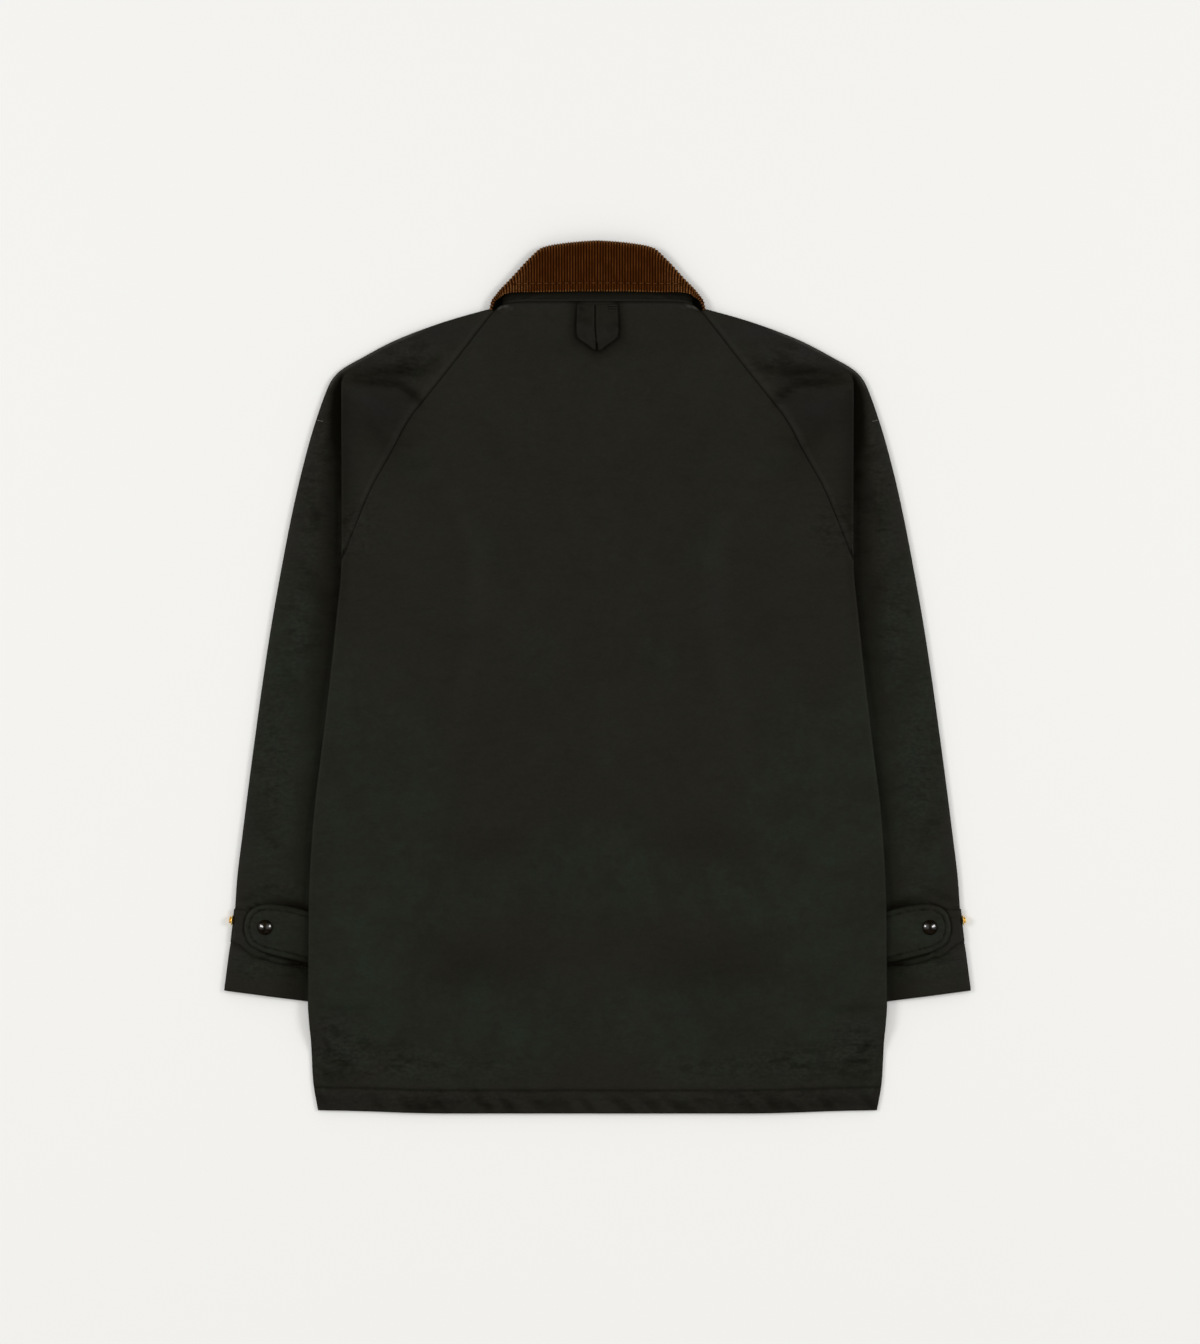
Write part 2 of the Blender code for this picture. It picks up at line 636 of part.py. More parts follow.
def add_loop():
    """Two legs of one strip, joined at the mitred tip, with a slit between them below the tip's fold."""
    lift = WALL / 2 + LOOP_WALL / 2 + 0.3
    rows = []
    for part in (LOOP, LOOP_TIP, LOOP_SLIT):
        for row in part:
            xs = [mix(row.inner, row.outer, k / 3) for k in range(4)]
            half = [(x, row.y, back_height(x, row.y) + lift + row.rise * math.cos(x / 24)) for x in xs]
            left = [(-x, y, z) for x, y, z in reversed(half)]
            middle = (0, row.y, half[0][2]) if part is LOOP_TIP else None
            rows.append(left + [middle] + half)
    return rows


def tab_rows():
    """A tab from under the body's edge to its round end, raised over the strap."""
    rows = []
    for station in TAB:
        over = ease((station.x - TAB_OVER_STRAP) / 14)
        height = ARM_TOP + WALL / 2 + 0.3 + TAB_WALL / 2 + over * (STRAP_WALL + 0.3)
        rows.append([(station.x, mix(station.high, station.low, k / 4), height) for k in range(5)])
    return rows


def strap_rows():
    """The strap under a tab, round the sleeve's outer edge and nearly to the surface."""
    rows = []
    reach = ARM_RADIUS + WALL / 2 + 0.3 + STRAP_WALL / 2
    for station in STRAP:
        tilt = CUFF_TILT * ease((TILT_START - station.y) / (TILT_START - ARM_ROWS[-1]))
        outer = read(ARM_OUTER, station.y, "x")
        bend = outer - ARM_RADIUS
        section = [(station.inner, LOW + ARM_RADIUS + reach)]
        section += run(section[0], (bend, section[0][1]), 4)
        section += arc((bend, LOW + ARM_RADIUS), reach, 90, 90 - STRAP_TURN, 6)
        rows.append([(x, station.y - tilt * (outer - x), z) for x, z in section])
    return rows


def turned_piece(name, profile, place, axis, colour, steps):
    """A solid of revolution: a profile of radius and height, from the top of its side to its foot."""
    mesh = bpy.data.meshes.new(name)
    points = [(0, profile[0][1])] + list(profile) + [(0, profile[-1][1])]
    verts = [(r * MM, 0, h * MM) for r, h in points]
    mesh.from_pydata(verts, [(k, k + 1) for k in range(len(verts) - 1)], [])
    piece = add_object(name, mesh, colour)
    screw = piece.modifiers.new("turn", "SCREW")
    screw.steps = steps
    screw.render_steps = steps
    screw.use_merge_vertices = True
    screw.merge_threshold = 0.00005
    screw.use_smooth_shade = True
    turn = Vector((0, 0, 1)).rotation_difference(Vector(axis)).to_matrix().to_4x4()
    piece.matrix_world = Matrix.Translation(Vector(place) * MM) @ turn
    return piece


def add_cuff(side, hand):
    cloth(f"cuff_tab_{hand}", tab_rows(), TAB_WALL, "waxed", side)
    cloth(f"cuff_strap_{hand}", strap_rows(), STRAP_WALL, "waxed", side)
    dome = [(CAP_RADIUS * math.sin(a), CAP_RIM + (CAP_RISE - CAP_RIM) * math.cos(a))
            for a in (math.radians(d) for d in (24, 46, 68, 90))]
    foot = ARM_TOP + WALL / 2 + 0.3 + TAB_WALL + STRAP_WALL + 0.6
    turned_piece(f"snap_cap_{hand}", [(0.01, CAP_RISE)] + dome + [(CAP_RADIUS - 0.5, 0)],
                 (side * CAP_PLACE[0], CAP_PLACE[1], foot), (0, 0, 1), "cap", 20)
    edge = read(ARM_OUTER, STUD_Y - STUD_FLANGE, "x") + WALL / 2 + STRAP_WALL + 0.6
    stud = [(STUD_POST * 0.5, STUD_REACH), (STUD_POST, STUD_REACH - 0.7), (STUD_POST * 0.8, 1.4),
            (STUD_POST, 1.2), (STUD_FLANGE - 0.4, 1.2), (STUD_FLANGE, 0.8), (STUD_FLANGE, 0)]
    turned_piece(f"cuff_stud_{hand}", stud, (side * edge, STUD_Y, STUD_FLANGE + 0.15),
                 (side, 0, 0), "brass", 14)


for item in list(bpy.data.objects):
    bpy.data.objects.remove(item)
jacket = bpy.data.collections.new("waxed_cotton_jacket")
bpy.context.scene.collection.children.link(jacket)

cloth("back_panel", back_rows(), WALL, "waxed")
for side, hand in ((-1, "left"), (1, "right")):
    cloth(f"front_{hand}", front_rows(hand == "right"), WALL, "waxed", side)
    cloth(f"sleeve_{hand}", sleeve_rows(), WALL, "waxed", side)
    add_cuff(side, hand)
add_collar()
cloth("hanger_loop", add_loop(), LOOP_WALL, "waxed")
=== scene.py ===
# Dresses the waxed cotton jacket: every cut piece as thin cloth with its creases and stitching,
# a corduroy collar, enamelled snap caps and brass studs. Lengths are in millimetres until a mesh is made.
# The jacket lies face down. x is measured from its centre line, y from the middle towards the collar.

import math

import bpy
import numpy as np
from mathutils import Matrix, Vector, noise


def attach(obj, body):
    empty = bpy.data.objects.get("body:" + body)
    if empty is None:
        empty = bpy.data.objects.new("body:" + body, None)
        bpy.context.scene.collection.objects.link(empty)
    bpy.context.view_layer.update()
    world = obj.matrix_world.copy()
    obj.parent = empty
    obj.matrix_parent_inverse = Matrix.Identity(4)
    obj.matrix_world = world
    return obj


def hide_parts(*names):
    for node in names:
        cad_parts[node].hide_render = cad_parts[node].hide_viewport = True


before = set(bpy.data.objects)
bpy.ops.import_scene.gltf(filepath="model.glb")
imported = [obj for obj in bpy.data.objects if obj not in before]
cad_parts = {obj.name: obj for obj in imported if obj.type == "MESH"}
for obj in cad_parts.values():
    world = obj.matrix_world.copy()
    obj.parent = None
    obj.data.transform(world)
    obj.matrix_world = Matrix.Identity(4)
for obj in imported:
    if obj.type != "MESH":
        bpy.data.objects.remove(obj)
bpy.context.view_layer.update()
mm = 0.001
hands = ((-1, "left"), (1, "right"))


# small maths

def ease(t):
    t = np.clip(t, 0.0, 1.0)
    return t * t * (3 - 2 * t)


def mix(a, b, t):
    return a + (b - a) * t


def bump(t):  # 1 at 0, soft down to 0 at -1 and 1
    return 1 - ease(np.abs(t))


def band(away, width):  # 1 on a line, fading on both sides of it
    return np.exp(-(away / width) ** 2)


def smoothTable(pairs):  # a smooth curve through (key, value) pairs that never overshoots
    rows = sorted(pairs)
    keys = np.array([row[0] for row in rows], float)
    values = np.array([row[1] for row in rows], float)
    slopes = np.diff(values) / np.diff(keys)
    tangents = np.concatenate([slopes[:1], np.zeros(len(slopes) - 1), slopes[-1:]])
    for i in range(1, len(slopes)):
        if slopes[i - 1] * slopes[i] > 0:
            tangents[i] = 2 * slopes[i - 1] * slopes[i] / (slopes[i - 1] + slopes[i])

    def read(at):
        at = np.clip(at, keys[0], keys[-1])
        i = np.clip(np.searchsorted(keys, at, side="right") - 1, 0, len(slopes) - 1)
        span = keys[i + 1] - keys[i]
        t = (at - keys[i]) / span
        straight = values[i] + (values[i + 1] - values[i]) * t * t * (3 - 2 * t)
        return straight + span * (t * (1 - t) ** 2 * tangents[i] + t * t * (t - 1) * tangents[i + 1])

    return read


# how the jacket is cut and how it lies

cut = {
    "wall": 1.3,
    "seamGap": 0.36,
    "underarmGap": 0.9,
    "armTop": 4.75,  # middle of a sleeve's upper layer
    "low": 0.75,  # middle of a layer that lies on the surface
    "foldRadius": 1.55,  # where the sleeve turns under at the body's edge
    "tuckRadius": 1.95,  # where it comes out again
    "leastReturn": 2.0,
    "leastTurn": 30.0,  # in degrees: under this a sleeve lies flat
    "middleHeight": 4.8,  # middle of the back, over the lapped fronts
    "lapRise": 1.8,
    "lap": 28.0,
    "backBend": 48.0,  # how far inside a sleeve's inner edge the back and the front begin to rise
    "frontBend": 34.0,
    "leafRise": 2.1,  # what the collar's leaves raise the neck by
    "underarm": 129.0,
    "slant": 2.3,  # fall of the raglan seam's lower end, for each millimetre outwards
    "armEnd": -336.0,  # below the cuffs the body sinks to the surface
    "armFade": 46.0,
    "hem": -434.0,
    "hemCorner": 279.5,
    "hemDepth": 23.0,
    "sideReturn": 10.0,
    "cuffTilt": 0.131,  # fall of the cuff's rows, for each millimetre inwards
    "tiltStart": -180.0,
    "neckHalf": 108.0,
}
armRadius = (cut["armTop"] - cut["low"]) / 2
fullStep = 2 * (cut["foldRadius"] + cut["tuckRadius"])

armEdge = smoothTable([
    (368, 107.5), (357, 147.5), (337, 201.5), (317, 239.5), (305, 259.0), (297, 266.0), (277, 274.5),
    (237, 287.5), (177, 302.5), (117, 314.5), (37, 328.5), (-83, 345.5), (-203, 360.5), (-263, 367.0),
    (-314, 373.5)])


def armOuter(y):  # the strap draws the cuff in a little
    return armEdge(y) - 1.5 * ease((-222 - y) / 12) * ease((y + 276) / 12)


bodyEdge = smoothTable([
    (300, 255.5), (120, 255.5), (51, 261.5), (-48, 272.5), (-152, 284.5), (-228, 288.5), (-326, 289.0),
    (-363, 286.5), (-403, 284.5), (cut["hem"], cut["hemCorner"])])
backSeam = smoothTable([
    (366.8, 103.4), (301.5, 154.6), (281, 171), (257, 189.5), (222, 207.7), (189, 226.1),
    (cut["underarm"], 251.0)])
frontSeam = smoothTable([(345, 91), (260, 102), (190, 118), (cut["underarm"], 144)])
armInner = smoothTable([
    (264, 249), (235, 222), (200, 188), (160, 158), (cut["underarm"], 145), (60, 147), (-23, 163),
    (-125, 187), (-225, 213), (-340, 233)])

# rows across the top of a sleeve: back seam, outer edge, and how far the cloth turns at the fold
shoulderRows = [(366.8, 367.5, 25), (350, 360, 25), (336, 351, 25), (319, 336, 25), (304, 320, 25),
                (292, 306, 36), (283, 296, 75), (274, 284, 130), (264, 264, 180)]
shoulderSeam = [row[0] for row in shoulderRows]
seamTurn = smoothTable([(row[0], row[2]) for row in shoulderRows])
tuckRows = [244, 224, 204, 182, 156, cut["underarm"]]
armRows = [122, 80, 37, -10, -60, -110, -160, -203, -245, -282, -314]
bodyRows = [100, 62, 18, -32, -83, -132, -180, -228, -280, -326, -345, -363, -382, -408, cut["hem"]]
neckTop, foldTop = shoulderSeam[0], shoulderSeam[-1]
seamEnd = backSeam(cut["underarm"])
endReach = bodyEdge(cut["underarm"]) - seamEnd
fullSlant = cut["slant"] * endReach


def leafLift(x, y):  # near the neck the cloth lies over the collar's leaves
    return cut["leafRise"] * (1 - ease((np.hypot(x, y - 345.0) - 112.0) / 25.0))


def slant(x):  # how far the lower end of the raglan seam has run down at x, as far as the fold
    return cut["slant"] * min(max(x - seamEnd, 0.0), endReach)


def stepOfTurn(turn):
    t = np.radians(turn)
    return fullStep / 2 * (1 - np.cos(t)) + cut["leastReturn"] * np.sin(t)


def sideHeight(y):
    step = np.where(y >= foldTop, stepOfTurn(seamTurn(y)), fullStep)
    onSurface = cut["low"] + 2 * cut["foldRadius"]
    return mix(cut["armTop"] + step, onSurface, ease((cut["armEnd"] - y) / cut["armFade"]))


def backHeight(x, y):
    out = ease((np.abs(x) - (armInner(y) - cut["backBend"])) / 42.0)
    return mix(cut["middleHeight"], sideHeight(y), out) + leafLift(x, y)


def frontHeight(x, y):
    if y > cut["underarm"]:
        return cut["low"] + leafLift(x, y)
    out = ease((abs(x) - (armInner(y) - cut["frontBend"])) / 32.0)
    return mix(cut["low"], sideHeight(y) - 2 * cut["foldRadius"], out)


def backNeck(x):
    return np.maximum(376.0 - 16.0 * np.minimum(np.abs(x) / cut["neckHalf"], 1) ** 12, 366.8)


def frontNeck(x):
    return 366.0 - 39.0 * np.sqrt(np.maximum(1 - (x / cut["neckHalf"]) ** 2, 0))


def hemLine(x):
    return cut["hem"] - 3.0 * ease((cut["hemCorner"] - np.abs(x)) / 130.0)


# the creases: a path, the height of its middle and its half width, on both sides of the centre line

creases = [
    # shoulders
    ([(238, 304), (212, 305), (187, 307), (166, 315)], -1.5, 7.5),
    ([(252, 297), (228, 296), (200, 295), (186, 284), (177, 273)], -1.5, 5.0),
    ([(236, 300), (210, 300), (194, 299)], 0.8, 4.0),
    ([(176, 318), (166, 324), (158, 333)], 0.45, 3.0),
    ([(184, 312), (172, 322)], -0.4, 3.0),
    ([(194, 316), (182, 323), (171, 332)], -0.5, 2.2),
    ([(187, 309), (173, 315), (162, 325)], 0.5, 2.0),
    ([(180, 303), (167, 306), (158, 313)], -0.45, 2.4),
    ([(202, 289), (190, 281), (182, 270)], 0.45, 2.6),
    ([(250, 307), (238, 303), (229, 304)], -0.5, 2.4),
    ([(240, 284), (222, 279), (206, 281)], -0.3, 3.0),
    ([(214, 268), (204, 258), (198, 246)], -0.3, 3.4),
    ([(246, 284), (222, 272), (205, 256)], 0.5, 12.0),
    ([(232, 262), (216, 240), (206, 222)], -0.35, 8.0),
    ([(205, 336), (178, 344), (150, 352)], 0.5, 10.0),
    # upper arm
    ([(279, 222), (269, 217)], -0.8, 3.5),
    ([(287, 176), (281, 160), (283, 147)], -0.8, 4.0),
    ([(276, 196), (272, 178), (273, 160)], 0.5, 5.0),
    ([(300, 120), (285, 98), (276, 74)], -0.5, 7.0),
    ([(308, 60), (296, 34), (290, 8)], 0.45, 9.0),
    ([(318, 20), (303, -20), (297, -58)], -0.35, 8.0),
    ([(330, -60), (316, -92), (308, -130)], 0.3, 9.0),
    ([(344, -130), (330, -158), (318, -176)], -0.35, 8.0),
    # lower end of the raglan seam
    ([(252, 152), (240, 168), (228, 176)], -0.45, 4.0),
    ([(248, 126), (233, 140), (214, 150)], 0.35, 5.0),
    # above and below the cuff tab
    ([(356, -224), (338, -216), (318, -210)], -0.8, 3.5),
    ([(328, -222), (310, -225.5), (293, -230)], -0.6, 3.8),
    ([(340, -222), (322, -213), (300, -210)], 0.5, 4.0),
    ([(345, -206), (330, -199), (312, -196)], 0.45, 5.0),
    ([(304, -286), (299, -292)], -0.7, 2.2),
    ([(300, -284), (294, -289)], 0.5, 1.8),
    ([(296, -290), (292, -298)], -0.6, 2.2),
    ([(361, -268), (350, -276), (338, -281)], -0.4, 3.0),
    ([(352, -292), (336, -296), (320, -292)], 0.3, 5.0),
    # corners of the hem
    ([(281, -329), (255, -332), (229, -330)], -0.55, 4.0),
    ([(279, -345), (262, -352), (246, -350)], 0.45, 4.5),
    ([(278, -358), (268, -371), (256, -380)], -0.7, 4.0),
    ([(275, -380), (256, -388), (236, -395)], -0.75, 3.5),
    ([(262, -374), (242, -382), (222, -384)], 0.5, 4.5),
    ([(240, -366), (214, -372), (190, -368)], -0.3, 6.0),
    ([(274, -388), (262, -393.5), (250, -393)], 0.45, 2.2),
    ([(281, -390), (270, -397), (256, -399.5), (243, -397.5)], -1.1, 2.4),
    ([(280, -401), (268, -405.5), (254, -405), (244, -407)], -0.7, 2.0),
    ([(262, -403), (250, -402.5), (238, -404)], 0.3, 2.2),
    ([(213, -390), (191, -385), (173, -386), (157, -392)], -0.35, 3.0),
    ([(204, -398), (188, -394), (172, -398)], 0.3, 3.4),
    # the back, very faint
    ([(120, 250), (96, 228), (88, 196)], -0.16, 14.0),
    ([(60, 150), (40, 128), (34, 100)], 0.14, 16.0),
    ([(180, 60), (150, 40), (120, 36)], -0.16, 16.0),
    ([(160, -190), (110, -204), (60, -198)], 0.18, 18.0),
    ([(210, -250), (180, -262), (140, -260)], -0.16, 14.0),
    ([(130, -330), (90, -344), (40, -346)], 0.15, 12.0),
    ([(14, 372), (22, 352), (30, 336)], -0.25, 7.0),
]


def measured(path):  # its points, and how far along it each one is
    points = np.array(path, float)
    spans = np.linalg.norm(np.diff(points, axis=0), axis=1)
    return points, np.concatenate([[0.0], np.cumsum(spans)])


def fromPath(x, y, path):  # distance from a path, and how far along it the nearest place is
    points, done = measured(path)
    spans = np.diff(done)
    nearest = np.full(np.shape(x), 1e9)
    where = np.zeros(np.shape(x))
    for k, (a, b) in enumerate(zip(points, points[1:])):
        t = np.clip(((x - a[0]) * (b[0] - a[0]) + (y - a[1]) * (b[1] - a[1])) / spans[k] ** 2, 0, 1)
        away = np.hypot(x - mix(a[0], b[0], t), y - mix(a[1], b[1], t))
        closer = away < nearest
        nearest = np.where(closer, away, nearest)
        where = np.where(closer, (done[k] + t * spans[k]) / done[-1], where)
    return nearest, where


def distance(x, y, path):
    return fromPath(x, y, path)[0]


def wander(x, y, size, seed):  # slow wandering between -1 and 1
    return np.array([noise.noise(Vector((a / size, b / size, seed))) for a, b in zip(x, y)])


seamPath = [(backSeam(y), y) for y in np.linspace(neckTop, cut["underarm"] + 2, 60)]
seamPath += [(251.8, 127.2), (255.4, 118.9)]


def seamDistance(x, y):
    across = np.abs(x)
    close = (np.abs(across - backSeam(y)) < 14) & (y > cut["underarm"] - 12)
    away = np.full(np.shape(x), 50.0)
    away[close] = distance(across[close], y[close], seamPath)
    return away


def creaseHeight(x, y):
    across = np.abs(x)
    height = np.zeros(len(x))
    for path, rise, width in creases:
        away, along = fromPath(across, y, path)
        height += rise * band(away, width) * (0.35 + 0.65 * np.sin(np.pi * along) ** 0.7)
    return height


def hemTwist(x, y):  # the hem's turning pulls slantwise
    return wander(x + 0.9 * y, y * 0.35, 13.0, 12.7)


def fieldHeight(x, y):
    broad = 0.35 * wander(x, y, 70.0, 3.1) + 0.16 * wander(x, y, 26.0, 7.7) + 0.05 * wander(x, y, 9.0, 1.9)
    rise = y - hemLine(x)
    sewn = rise - cut["hemDepth"]
    hemPuckers = 0.22 * wander(x, y * 0.25, 6.5, 5.3) * band(sewn, 7.0)
    hemGroove = -0.55 * band(sewn, 1.5) * (np.abs(x) < bodyEdge(y) + 2)
    hemRoll = 0.5 * band(rise - 12.0, 8.0) + 0.6 * hemTwist(x, y) * band(rise - 11.0, 9.0)
    inBody = ease((bodyEdge(y) + 4 - np.abs(x)) / 3)
    seam = seamDistance(x, y)
    seamForm = -0.7 * band(seam, 1.2) + 0.35 * band(seam - 3.6, 1.6) * (np.abs(x) > backSeam(y))
    return broad + creaseHeight(x, y) + seamForm + (hemPuckers + hemGroove + hemRoll) * inBody


# beside the body, where the sleeve dives under the fold: its shade and its form

besideBody = {
    "strength": smoothTable([(306, 0.0), (298, 0.88), (288, 1.0), (225, 1.0), (190, 0.9), (132, 0.9),
                             (77, 0.86), (27, 0.72), (-23, 0.66), (-83, 0.5), (-143, 0.5), (-195, 0.5),
                             (-222, 0.5), (-232, 0.3), (-276, 0.3), (-285, 0.62), (-310, 0.7), (-330, 0.66)]),
    "core": smoothTable([(306, 0), (296, 2.5), (286, 6), (240, 8.5), (215, 6.5), (180, 6), (120, 4),
                         (60, 0)]),
    "width": smoothTable([(306, 4), (296, 9), (286, 15), (225, 21), (180, 30), (132, 30), (77, 36), (27, 38),
                          (-23, 34), (-80, 27), (-195, 26), (-240, 20), (-285, 46), (-330, 44)]),
    "dip": 1.5,  # of the sleeve next to the fold
    "puff": 2.4,  # of the fold near its upper end
    "crown": 1.1,  # of the sleeve's middle
}


def besideFold(x, y):
    out = np.abs(x) - bodyEdge(y)
    core, width = besideBody["core"](y), besideBody["width"](y)
    return besideBody["strength"](y) * np.where(out < 0, 1.0, 1 - ease((out - core) / (width - core)))


def settle(points):  # the form of all layers at once, so that they follow one another
    x, y, z = points[:, 0], points[:, 1], points[:, 2]
    up = ease((z - 1.6) / 2.4)
    over = np.clip((z - cut["armTop"]) / fullStep, 0, 1)
    besideEdge = ease((np.abs(x) - (bodyEdge(y) - 30)) / 26)
    puff = besideBody["puff"] * over * besideEdge * bump((y - 262) / 62)
    onArm = np.abs(x) > bodyEdge(y) - 8
    dip = besideBody["dip"] * (1 - ease(over * 4)) * besideFold(x, y) * onArm
    acrossArm = (np.abs(x) - bodyEdge(y)) / np.maximum(armOuter(y) - bodyEdge(y), 1)
    crown = besideBody["crown"] * (1 - ease(over * 3)) * np.sin(np.pi * np.clip(acrossArm, 0, 1)) * (y < 300)
    settled = points.copy()
    settled[:, 2] = z + up * (fieldHeight(x, y) + puff - dip + crown)
    return settled


# rows of points made into cloth

def loft(rows, step):  # smooth rows between the given ones; None where a row has no cloth
    ts = [0.0]
    for above, below in zip(rows, rows[1:]):
        both = [(a, b) for a, b in zip(above, below) if a is not None and b is not None]
        ts.append(ts[-1] + np.mean([math.dist(a, b) for a, b in both]))
    fine = [0.0]
    for start, end in zip(ts, ts[1:]):
        count = max(1, round((end - start) / step))
        fine += [mix(start, end, k / count) for k in range(1, count)] + [end]
    fine = np.array(fine)
    grid = np.full((len(fine), len(rows[0]), 3), np.nan)
    for k in range(len(rows[0])):
        held = [i for i, row in enumerate(rows) if row[k] is not None]
        if len(held) < 2:
            continue
        inside = (fine >= ts[held[0]] - 1e-6) & (fine <= ts[held[-1]] + 1e-6)
        for axis in range(3):
            grid[inside, k, axis] = smoothTable([(ts[i], rows[i][k][axis]) for i in held])(fine[inside])
    return grid


def gridMesh(name, grid, side=1, settled=True):
    there = ~np.isnan(grid[:, :, 0])
    full = there[:-1, :-1] & there[1:, :-1] & there[1:, 1:] & there[:-1, 1:]
    used = np.zeros(there.shape, bool)
    for di, dj in ((0, 0), (1, 0), (1, 1), (0, 1)):
        used[di:full.shape[0] + di, dj:full.shape[1] + dj] |= full
    number = np.full(there.shape, -1)
    number[used] = np.arange(used.sum())
    rows, columns = np.nonzero(full)
    corners = [number[rows, columns], number[rows + 1, columns],
               number[rows + 1, columns + 1], number[rows, columns + 1]]
    faces = np.stack(corners if side > 0 else corners[::-1], axis=1)
    points = grid[used].copy()
    points[:, 0] *= side
    if settled:
        points = settle(points)
    mesh = bpy.data.meshes.new(name)
    mesh.from_pydata((points * mm).tolist(), [], faces.tolist())
    return mesh, used


def paint(mesh, name, values):  # a number at each point, for the material
    layer = mesh.attributes.new(name, "FLOAT", "POINT")
    layer.data.foreach_set("value", np.asarray(values, np.float32))


def addPiece(name, mesh, material, replaced=()):
    piece = bpy.data.objects.new(name, mesh)
    bpy.context.scene.collection.objects.link(piece)
    mesh.materials.clear()
    mesh.materials.append(material)
    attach(piece, "root")
    if replaced:
        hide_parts(*replaced)
    return piece


def thicken(name, mesh, wall, offset=0.0, shares=None):  # the surface made a wall, as a new mesh
    holder = bpy.data.objects.new(name + "_open", mesh)
    bpy.context.scene.collection.objects.link(holder)
    solid = holder.modifiers.new("wall", "SOLIDIFY")
    solid.thickness = wall * mm
    solid.offset = offset
    if shares is not None:
        group = holder.vertex_groups.new(name="share")
        for k, share in enumerate(shares):
            group.add([k], float(share), "REPLACE")
        solid.vertex_group = "share"
    walled = bpy.data.meshes.new_from_object(holder.evaluated_get(bpy.context.evaluated_depsgraph_get()))
    bpy.data.objects.remove(holder)
    bpy.data.meshes.remove(mesh)
    walled.name = name
    walled.shade_smooth()
    return walled


def meshPoints(mesh):
    points = np.empty(len(mesh.vertices) * 3)
    mesh.vertices.foreach_get("co", points)
    return points.reshape(-1, 3) / mm


# materials: an expression on wires adds its nodes

class Wire:
    def __init__(self, tree, socket=None):
        self.tree = tree
        self.socket = socket

    def node(self, kind, settings=None, sockets=None, out=0):
        made = self.tree.nodes.new(kind)
        for key, value in (settings or {}).items():
            setattr(made, key, value)
        for key, value in (sockets or {}).items():
            if isinstance(value, Wire):
                self.tree.links.new(value.socket, made.inputs[key])
            else:
                made.inputs[key].default_value = value
        return Wire(self.tree, made.outputs[out])

    def maths(self, operation, a, b=0.0):
        return self.node("ShaderNodeMath", {"operation": operation}, {0: a, 1: b})

    def __add__(self, other):
        return self.maths("ADD", self, other)

    def __radd__(self, other):
        return self.maths("ADD", other, self)

    def __sub__(self, other):
        return self.maths("SUBTRACT", self, other)

    def __rsub__(self, other):
        return self.maths("SUBTRACT", other, self)

    def __mul__(self, other):
        return self.maths("MULTIPLY", self, other)

    def __rmul__(self, other):
        return self.maths("MULTIPLY", other, self)

    def clamped(self):
        return self.node("ShaderNodeClamp", sockets={0: self})

    def remap(self, low, high, toLow=0.0, toHigh=1.0):
        return self.node("ShaderNodeMapRange", {"interpolation_type": "SMOOTHSTEP"},
                         {0: self, 1: low, 2: high, 3: toLow, 4: toHigh})

    def tint(self, a, b):  # colours from a to b by this number
        return self.node("ShaderNodeMix", {"data_type": "RGBA"}, {0: self, 6: a, 7: b}, out=2)

    def shaded(self, amount):  # this colour times a number
        grey = self.node("ShaderNodeCombineColor", sockets={0: amount, 1: amount, 2: amount})
        return self.node("ShaderNodeMix", {"data_type": "RGBA", "blend_type": "MULTIPLY"},
                         {0: 1.0, 6: self, 7: grey}, out=2)

    def scaled(self, factors):
        return self.node("ShaderNodeVectorMath", {"operation": "MULTIPLY"}, {0: self, 1: factors})

    def noise(self, scale, detail, roughness):
        return self.node("ShaderNodeTexNoise", sockets={
            "Vector": self, "Scale": scale, "Detail": detail, "Roughness": roughness})

    def painted(self, attribute):  # what paint() left on the mesh
        return self.node("ShaderNodeAttribute", {"attribute_name": attribute}, out=2)

    def bumped(self, distance, strength=1.0):
        return self.node("ShaderNodeBump", sockets={
            "Strength": strength, "Distance": distance, "Height": self})


def colour(r, g, b):
    return (r, g, b, 1.0)


def newMaterial(name, constants):
    material = bpy.data.materials.new(name)
    material.use_nodes = True
    shader = material.node_tree.nodes["Principled BSDF"]
    for key, value in constants.items():
        shader.inputs[key].default_value = value
    tree = material.node_tree

    def join(key, wire):
        tree.links.new(wire.socket, shader.inputs[key])

    return material, Wire(tree).node("ShaderNodeTexCoord", out=3), join


waxedCotton = {
    "olive": colour(0.0104, 0.0094, 0.0056),
    "green": colour(0.0098, 0.0146, 0.0084),
    "grey": colour(0.0112, 0.0102, 0.0098),
    # the colour of painted highlights
    "pale": colour(0.0560, 0.0520, 0.0450),
    # the near-black colour that painted shade darkens the cloth towards
    "dark": colour(0.0021, 0.0018, 0.0005),
    "roughness": 0.66,
    "wax": 0.13,
    "weaveHeight": 0.00006,
}


